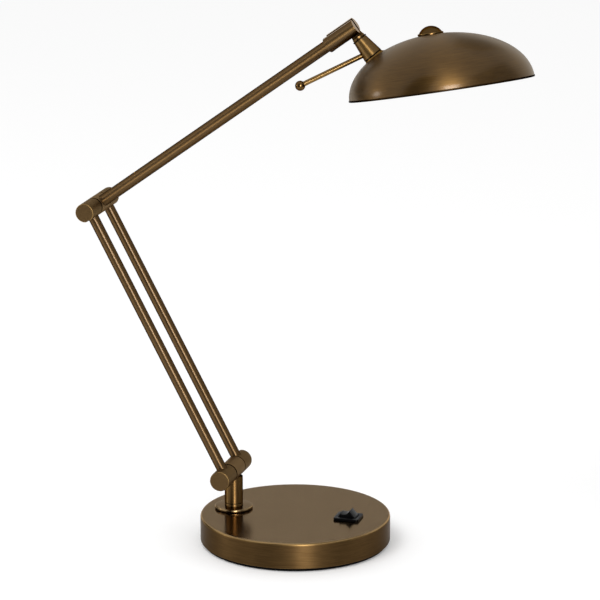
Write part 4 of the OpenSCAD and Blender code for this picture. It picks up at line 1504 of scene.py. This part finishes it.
@dataclass
class Head:
    """Neck flange, socket cup, collar, shade, finial and handle, in millimetres.

    Attributes:
        turned: Turn of the head about the neck in degrees.
        neck_flange: Radius and thickness of the neck's flange.
        nipple_r: Radius of the hole for the nipple.
        cup_top_r: Radius of the cup's top.
        cup_r: Radius of the cup's mouth.
        cup_len: Length of the cup.
        cup_wall: Wall of the cup.
        cup_top_t: Thickness of the cup's top.
        groove: Depth and height of the groove between cup and collar, on the cup's side.
        collar_h: Height of the shade's collar.
        collar_r: Radius of the collar's flare.
        spigot_r: Outer radius of the collar's spigot.
        holder_r: Radius of the lampholder's hole.
        spigot_h: Height of the spigot inside the shade.
        spigot_foot: Distance of the spigot's foot from the cup's mouth.
        flare_t: Distance of the flare's inside from the lampholder's hole.
        hole_play: How much wider the shade's hole is than the spigot.
        shade_r: Radius of the shade over its rim.
        shade_h: Height of the shade.
        shade_wall: Wall of the shade.
        rim_r: Radius of the rolled rim.
        rim_out: How far the rim stands out from the dome.
        socket_r: Distance of the socket from the shade's axis.
        cant: Angle between the socket's axis and the shade's axis.
        finial_r: Radius of the finial.
        finial_h: Height of the finial.
        finial_off: Distance of the finial from the shade's axis.
        brim: Width and height of the finial's brim.
        finial_sink: How far the finial's foot reaches down before it is cut to the dome.
        handle_s: Place of the handle along the cup.
        handle_rise: Rise of the handle in degrees.
        handle_r: Radius of the handle.
        handle_start: Where the handle starts from the cup's axis.
        handle_len: Where its ball is.
        ball_r: Radius of the ball.
    """

    turned: float = -14.8
    neck_flange: tuple[float, float] = (7.9, 1.2)
    nipple_r: float = 3.55
    cup_top_r: float = 7.3
    cup_r: float = 10.3
    cup_len: float = 21.0
    cup_wall: float = 1.6
    cup_top_t: float = 2.2
    groove: tuple[float, float] = (0.3, 0.6)
    collar_h: float = 1.6
    collar_r: float = 13.3
    spigot_r: float = 8.7
    holder_r: float = 6.84
    spigot_h: float = 5.4
    spigot_foot: float = 1.5
    flare_t: float = 2.0
    hole_play: float = 0.1
    shade_r: float = 95.0
    shade_h: float = 56.8
    shade_wall: float = 1.0
    rim_r: float = 1.1
    rim_out: float = 0.5
    socket_r: float = 63.2
    cant: float = 30.95
    finial_r: float = 13.15
    finial_h: float = 8.5
    finial_off: float = 3.5
    brim: tuple[float, float] = (1.5, 1.8)
    finial_sink: float = 1.4
    handle_s: float = 16.2
    handle_rise: float = 13.4
    handle_r: float = 2.6
    handle_start: float = 8.44
    handle_len: float = 78.8
    ball_r: float = 5.2

    @property
    def place(self) -> Matrix:
        """Frame of the cup's top, with its Z along the socket."""
        return NECK_AT @ Matrix.Rotation(math.radians(self.turned), 4, "Z")

    @property
    def dome(self) -> tuple[float, float]:
        """Half-axes of the shade's outer ellipse."""
        return self.shade_r - self.rim_out, self.shade_h

    @property
    def shade_place(self) -> Matrix:
        """Frame of the shade's mouth.

        Returns:
            The frame, with its Z towards the finial.
        """
        across, high = self.dome
        rise = high * math.sqrt(1 - (self.socket_r / across) ** 2)
        cant = math.radians(self.cant)
        x = -math.cos(cant) * self.socket_r + math.sin(cant) * rise
        z = self.cup_len + self.collar_h + math.sin(cant) * self.socket_r + math.cos(cant) * rise
        mouth = self.place @ Matrix.Translation((x * MM, 0, z * MM))
        return mouth @ Matrix.Rotation(math.pi + cant, 4, "Y")

    def dome_cutter(self) -> Piece:
        """Makes the solid inside the shade's outer face.

        Returns:
            The cutter for what sits on the shade.
        """
        across, high = self.dome
        gap = 0.05
        dome = arc((0, 0), (across + gap, high + gap), 90, 0, 64)
        cutter = turn("dome_cutter", [*dome, Corner(0, 0)], steps=192, closed=False)
        return put(cutter, self.shade_place)

    def neck(self) -> None:
        """Builds the thin flange between neck and cup, in dark brass as a painted shadow line."""
        radius, thick = self.neck_flange
        piece = sleeve("neck_flange_disc", self.nipple_r, radius, -thick, 0, edges=(0.35, 0.35))
        dress(put(piece, NECK_AT), "neck_flange", Finish.RIM)

    def cup(self) -> None:
        """Builds the socket cup."""
        depth, height = self.groove
        mouth = self.cup_r - self.cup_wall
        room = self.cup_top_r - self.cup_wall + 0.3
        # The corner under the neck flange and the groove at the mouth are darkened as painted shade
        piece = turn("socket_cup_cone", [
            Corner(self.nipple_r, 0), Corner(self.cup_top_r, 0, 0.5, -0.5),
            Corner(self.cup_r - 0.1, self.cup_len - 1.0),
            Corner(self.cup_r, self.cup_len - height, wear_and_painted_light=-1.0),
            Corner(self.cup_r - depth, self.cup_len, wear_and_painted_light=-1.0), Corner(mouth, self.cup_len),
            Corner(room, self.cup_top_t), Corner(self.nipple_r, self.cup_top_t),
        ], steps=96)
        dress(put(piece, self.place), "socket_cup", Finish.CUP)

    def collar(self) -> None:
        """Builds the flared collar on the shade and its spigot."""
        depth, height = self.groove
        start = self.cup_len
        flare = 2 * self.collar_h
        steps = 8
        curve = []
        for i in range(1, steps + 1):
            share = i / steps
            out = (self.collar_r - self.cup_r) * share ** 2
            curve.append(Corner(self.cup_r + out, start + height + (flare - height) * share))
        inner = self.holder_r + self.flare_t
        # The groove under the cup is darkened as painted shade
        piece = turn("shade_flare", [
            Corner(inner, start), Corner(self.cup_r - depth, start, wear_and_painted_light=-1.0),
            Corner(self.cup_r - 0.2, start + 0.5, wear_and_painted_light=-1.0), *curve, Corner(inner, start + flare),
        ], steps=96)
        put(piece, self.place)
        carve(piece, self.dome_cutter())
        spigot = sleeve("shade_spigot", self.holder_r, self.spigot_r, start + self.spigot_foot,
                        start + self.collar_h + self.spigot_h, edges=(0.0, 0.3))
        join(piece, put(spigot, self.place))
        dress(piece, "shade_collar", Finish.COLLAR)

    def shade(self) -> None:
        """Builds the domed shade with its rolled rim."""
        across, high = self.dome
        bead = self.shade_r - self.rim_r
        seam = 60
        seam_z = self.rim_r * (1 + math.sin(math.radians(seam)))
        low = math.degrees(math.asin(seam_z / high))
        outer = arc((0, 0), (across, high), 90, low, 56)
        inner = arc((0, 0), (across - self.shade_wall, high - self.shade_wall), low, 90, 40)
        rim = arc((bead, self.rim_r), (self.rim_r, self.rim_r), seam, -180 - seam, 14)
        piece = turn("shade_dome", [*outer, *rim, *inner], steps=192, closed=False)
        put(piece, self.shade_place)
        carve(piece, rod(2 * self.spigot_r + self.hole_play, 0, 2 * self.cup_len, self.place))
        dress(piece, "shade", Finish.SHADE)
        to_shade = self.shade_place.inverted()
        # The rolled rim takes dark brass as painted shade
        repaint(piece, Finish.RIM, lambda face: (to_shade @ face.center).z < 2 * self.rim_r * MM)

    def finial(self) -> None:
        """Builds the low domed finial."""
        brim_w, brim_h = self.brim
        crown = self.finial_r - brim_w
        rise = self.finial_h - brim_h
        ball = (crown ** 2 + rise ** 2) / (2 * rise)
        open_angle = math.degrees(math.asin(crown / ball))
        cap = arc((0, brim_h + rise - ball), (ball, ball), 90 - open_angle, 90, 20)
        # Brim edge in gold, partly a painted highlight; the step above the brim darkened as painted shade
        piece = turn("shade_finial", [
            Corner(0, -self.finial_sink), Corner(crown, -self.finial_sink),
            Corner(self.finial_r, -0.4, 0.5), Corner(self.finial_r, brim_h - 0.4, 0.6, 0.9),
            Corner(crown + 0.1, brim_h - 0.2, wear_and_painted_light=-1.0), *cap,
        ], steps=96, closed=False)
        seat = Matrix.Translation((-self.finial_off * MM, 0, self.shade_h * MM))
        put(piece, self.shade_place @ seat)
        carve(piece, self.dome_cutter())
        dress(piece, "finial", Finish.FINIAL)

    def handle(self) -> None:
        """Builds the handle's rod and ball."""
        place = self.place @ Matrix.Translation((0, 0, self.handle_s * MM))
        place = place @ Matrix.Rotation(math.radians(90 + self.handle_rise), 4, "Y")
        stick = sleeve("handle_stick", 0, self.handle_r, self.handle_start, self.handle_len,
                       edges=(0.3, 0.0), steps=48)
        dress(put(stick, place), "handle_rod", Finish.HANDLE)
        open_angle = math.degrees(math.acos(self.handle_r / self.ball_r))
        knob = arc((0, self.handle_len), (self.ball_r, self.ball_r), -open_angle, 90, 24)
        back = self.handle_len - self.ball_r * math.sin(math.radians(open_angle))
        ball = turn("handle_knob", [Corner(0, back), *knob], steps=48, closed=False)
        dress(put(ball, place), "handle_ball", Finish.POLISHED)

    def build(self) -> None:
        """Builds the head."""
        self.neck()
        self.cup()
        self.collar()
        self.shade()
        self.finial()
        self.handle()


KEPT_NODES: dict[Finish, tuple[str, ...]] = {
    Finish.STEEL: (
        "base_plate", "base_standoffs", "plate_screws", "post_stud", "post_washer", "post_nut",
        "lower_bolt", "elbow_bolt", "fork_washer", "fork_nut", "tilt_washers", "neck_nipple",
        "neck_washer", "neck_nut", "finial_stud", "finial_nut", "bulb_pins"),
    Finish.IRON: ("base_weight",),
    Finish.PLASTIC: ("cord_grommet", "lower_washers", "elbow_washers"),
    Finish.PLAIN_BRASS: ("tongue", "shade_nut"),
    Finish.CERAMIC: ("lampholder", "bulb_base"),
    Finish.CONTACT: ("switch_terminals", "holder_contacts"),
    Finish.TUNGSTEN: ("bulb_filament",),
    Finish.GLASS: ("bulb_glass",),
}


def dress_kept_nodes() -> None:
    """Gives the nodes that stay from the frame their finishes."""
    for finish, names in KEPT_NODES.items():
        for name in names:
            node = frame["nodes"][name]
            node.data.materials.clear()
            node.data.materials.append(finish_material(finish))
            LOG.info("%s: kept, %s", name, finish.name.lower())


# Studio


@dataclass(frozen=True)
class Eye:
    """The camera.

    Attributes:
        target: The place that it looks at, in metres.
        azimuth: Its turn about Z in degrees, from in front of the arm's plane.
        elevation: Its height above level in degrees.
        distance: Its distance from the target in metres.
        lens: Its focal length in millimetres, on a sensor 36 mm wide.
    """

    target: Spot = (0.00514, 0.0, 0.26347)
    azimuth: float = 16.26
    elevation: float = 15.07
    distance: float = 3.6001
    lens: float = 208.5

    def build(self) -> None:
        """Makes the camera and lets the scene look through it."""
        turned = math.radians(self.azimuth)
        rise = math.radians(self.elevation)
        level = math.cos(rise)
        back = Vector((math.sin(turned) * level, -math.cos(turned) * level, math.sin(rise)))
        data = bpy.data.cameras.new("eye")
        data.lens = self.lens
        data.sensor_width = 36.0
        data.clip_end = 100.0
        eye = bpy.data.objects.new("eye", data)
        bpy.context.scene.collection.objects.link(eye)
        eye.location = Vector(self.target) + back * self.distance
        eye.rotation_euler = (-back).to_track_quat("-Z", "Y").to_euler()
        bpy.context.scene.camera = eye


@dataclass(frozen=True)
class SoftBox:
    """A soft lamp that faces the object.

    Attributes:
        name: Its name.
        place: Where it stands, in metres.
        size: Its width and height in metres.
        power: Its power in watts.
        only_gloss: Whether only polished surfaces show it.
        only_soft: Whether only matt surfaces show it.
        aim: The place that it faces.
    """

    name: str
    place: Spot
    size: tuple[float, float]
    power: float
    only_gloss: bool = False
    only_soft: bool = False
    aim: Spot = (0.0, 0.0, 0.25)

    def build(self) -> None:
        """Makes the lamp."""
        data = bpy.data.lights.new(self.name, "AREA")
        data.shape = "RECTANGLE"
        data.size, data.size_y = self.size
        data.energy = self.power
        lamp = bpy.data.objects.new(self.name, data)
        bpy.context.scene.collection.objects.link(lamp)
        lamp.location = self.place
        way = Vector(self.aim) - Vector(self.place)
        lamp.rotation_euler = way.to_track_quat("-Z", "Y").to_euler()
        lamp.visible_camera = False
        lamp.visible_diffuse = not self.only_gloss
        lamp.visible_glossy = not self.only_soft


def around(angle: float, distance: float, height: float) -> Spot:
    """Gives a place in the studio.

    Args:
        angle: Its turn to the right of the camera in degrees, seen from the lamp.
        distance: Its distance from the lamp in metres.
        height: Its height in metres.

    Returns:
        The place.
    """
    turned = math.radians(Eye.azimuth + angle)
    return distance * math.sin(turned), -distance * math.cos(turned), height


@dataclass(frozen=True)
class DarkCard:
    """A dark card beside the lamp, which only its polished metal shows.

    Attributes:
        name: Its name.
        angle: Its turn to the right of the camera in degrees.
        width: The angle that it covers.
        distance: Its distance from the lamp in metres.
        height: Height of its upper edge in metres.
        foot: Height of its lower edge.
        grey: Its grey.
    """

    name: str
    angle: float
    width: float
    distance: float = 1.5
    height: float = 1.6
    foot: float = 0.0
    grey: float = 0.03

    def build(self) -> None:
        """Makes the card."""
        clear_selection()
        bpy.ops.mesh.primitive_plane_add(size=1)
        card = bpy.context.object
        card.name = self.name
        wide = 2 * self.distance * math.tan(math.radians(self.width / 2))
        card.scale = (wide, self.height - self.foot, 1)
        card.rotation_euler = (math.pi / 2, 0, math.radians(Eye.azimuth + self.angle))
        card.location = around(self.angle, self.distance, (self.height + self.foot) / 2)
        nodes = Nodes(bpy.data.materials.new(self.name))
        nodes.set(Base_Color=(self.grey, self.grey, self.grey), Roughness=1.0)
        card.data.materials.append(nodes.owner)
        card.visible_camera = False
        card.visible_diffuse = False
        card.visible_transmission = False
        card.visible_shadow = False


LAMPS = (
    SoftBox("front_strip", around(11, 3.0, 1.2), (0.9, 1.4), 92.0, only_gloss=True),
    SoftBox("left_strip", around(-90, 2.0, 0.6), (0.3, 0.5), 6.4, only_gloss=True),
    SoftBox("top_lamp", (-0.8, -1.4, 2.6), (1.4, 1.4), 22.0, only_soft=True),
)
CARDS = (
    DarkCard("card_front_left", -31, 34, height=3.0),
    DarkCard("card_front_right", 50, 20, height=0.35),
    DarkCard("card_right", 75, 70, height=2.0, foot=0.35, grey=0.4),
    DarkCard("card_left_low", -104, 44, height=0.5),
    DarkCard("card_left_high", -134, 30, height=0.9, foot=0.35),
    DarkCard("card_far_right", 116, 40, height=0.35),
    DarkCard("card_back_right", 158, 26, height=2.3, foot=1.2, grey=0.2),
    DarkCard("card_back", 180, 46, height=0.75, grey=0.58),
)


@dataclass(frozen=True)
class Studio:
    """White floor, white surround, soft lamps and dark cards.

    Attributes:
        floor_size: Width of the floor in metres.
        floor_colour: Colour of the floor.
        floor_drop: How far the floor lies below the pad, in metres.
        floor_lift: Light that the floor adds where it is looked at.
        surround: Strength of the surround as a light.
    """

    floor_size: float = 60.0
    floor_colour: Colour = (0.94, 0.94, 0.94)
    floor_drop: float = 0.2 * MM
    floor_lift: float = 0.12
    surround: float = 0.85

    def world(self) -> None:
        """Makes the white surround."""
        nodes = Nodes(bpy.data.worlds.new("white_surround"))
        bpy.context.scene.world = nodes.owner
        background = nodes.tree.nodes["Background"]
        background.inputs["Color"].default_value = (1, 1, 1, 1)
        strength = nodes.spread(nodes.looked_at(), (self.surround, 1.0), (0.0, 1.0))
        nodes.link(strength, background.inputs["Strength"])

    def floor(self) -> None:
        """Makes the pale floor, which keeps the shadow and is clear from below."""
        clear_selection()
        bpy.ops.mesh.primitive_plane_add(size=self.floor_size, location=(0, 0, -self.floor_drop))
        floor = bpy.context.object
        floor.name = "floor"
        nodes = Nodes(bpy.data.materials.new("pale_floor"))
        nodes.tree.nodes.remove(nodes.shader)
        matt = nodes.add("ShaderNodeBsdfDiffuse")
        matt.inputs["Color"].default_value = (*self.floor_colour, 1)
        glow = nodes.add("ShaderNodeEmission")
        lift = nodes.spread(nodes.looked_at(), (0.0, self.floor_lift), (0.0, 1.0))
        nodes.link(lift, glow.inputs["Strength"])
        both = nodes.add("ShaderNodeAddShader")
        nodes.link(matt.outputs[0], both.inputs[0])
        nodes.link(glow.outputs[0], both.inputs[1])
        below = nodes.add("ShaderNodeMixShader")
        nodes.link(nodes.add("ShaderNodeNewGeometry").outputs["Backfacing"], below.inputs["Fac"])
        nodes.link(both.outputs[0], below.inputs[1])
        nodes.link(nodes.add("ShaderNodeBsdfTransparent").outputs[0], below.inputs[2])
        nodes.link(below.outputs[0], nodes.tree.nodes["Material Output"].inputs["Surface"])
        floor.data.materials.append(nodes.owner)

    def build(self) -> None:
        """Makes the surround, the floor, the lamps and the cards."""
        bpy.context.scene.view_settings.view_transform = "Standard"
        self.world()
        self.floor()
        for item in (*LAMPS, *CARDS):
            item.build()


def main() -> None:
    """Builds the studio and the lamp."""
    logging.basicConfig(level=logging.INFO, format="%(name)s: %(message)s")
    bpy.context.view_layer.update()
    Eye().build()
    Studio().build()
    Base().build()
    Switch().build()
    Post().build()
    Knuckle("lower", LOWER_AT, STRUTS_AT, radius=10.6, hub_rear=17.2).build()
    Knuckle("elbow", ELBOW_AT, STRUTS_BACK, radius=9.85, hub_rear=13.0).build(ARM_AT)
    Tubes().build()
    TiltJoint().build()
    Head().build()
    dress_kept_nodes()


if __name__ == "__main__":
    main()
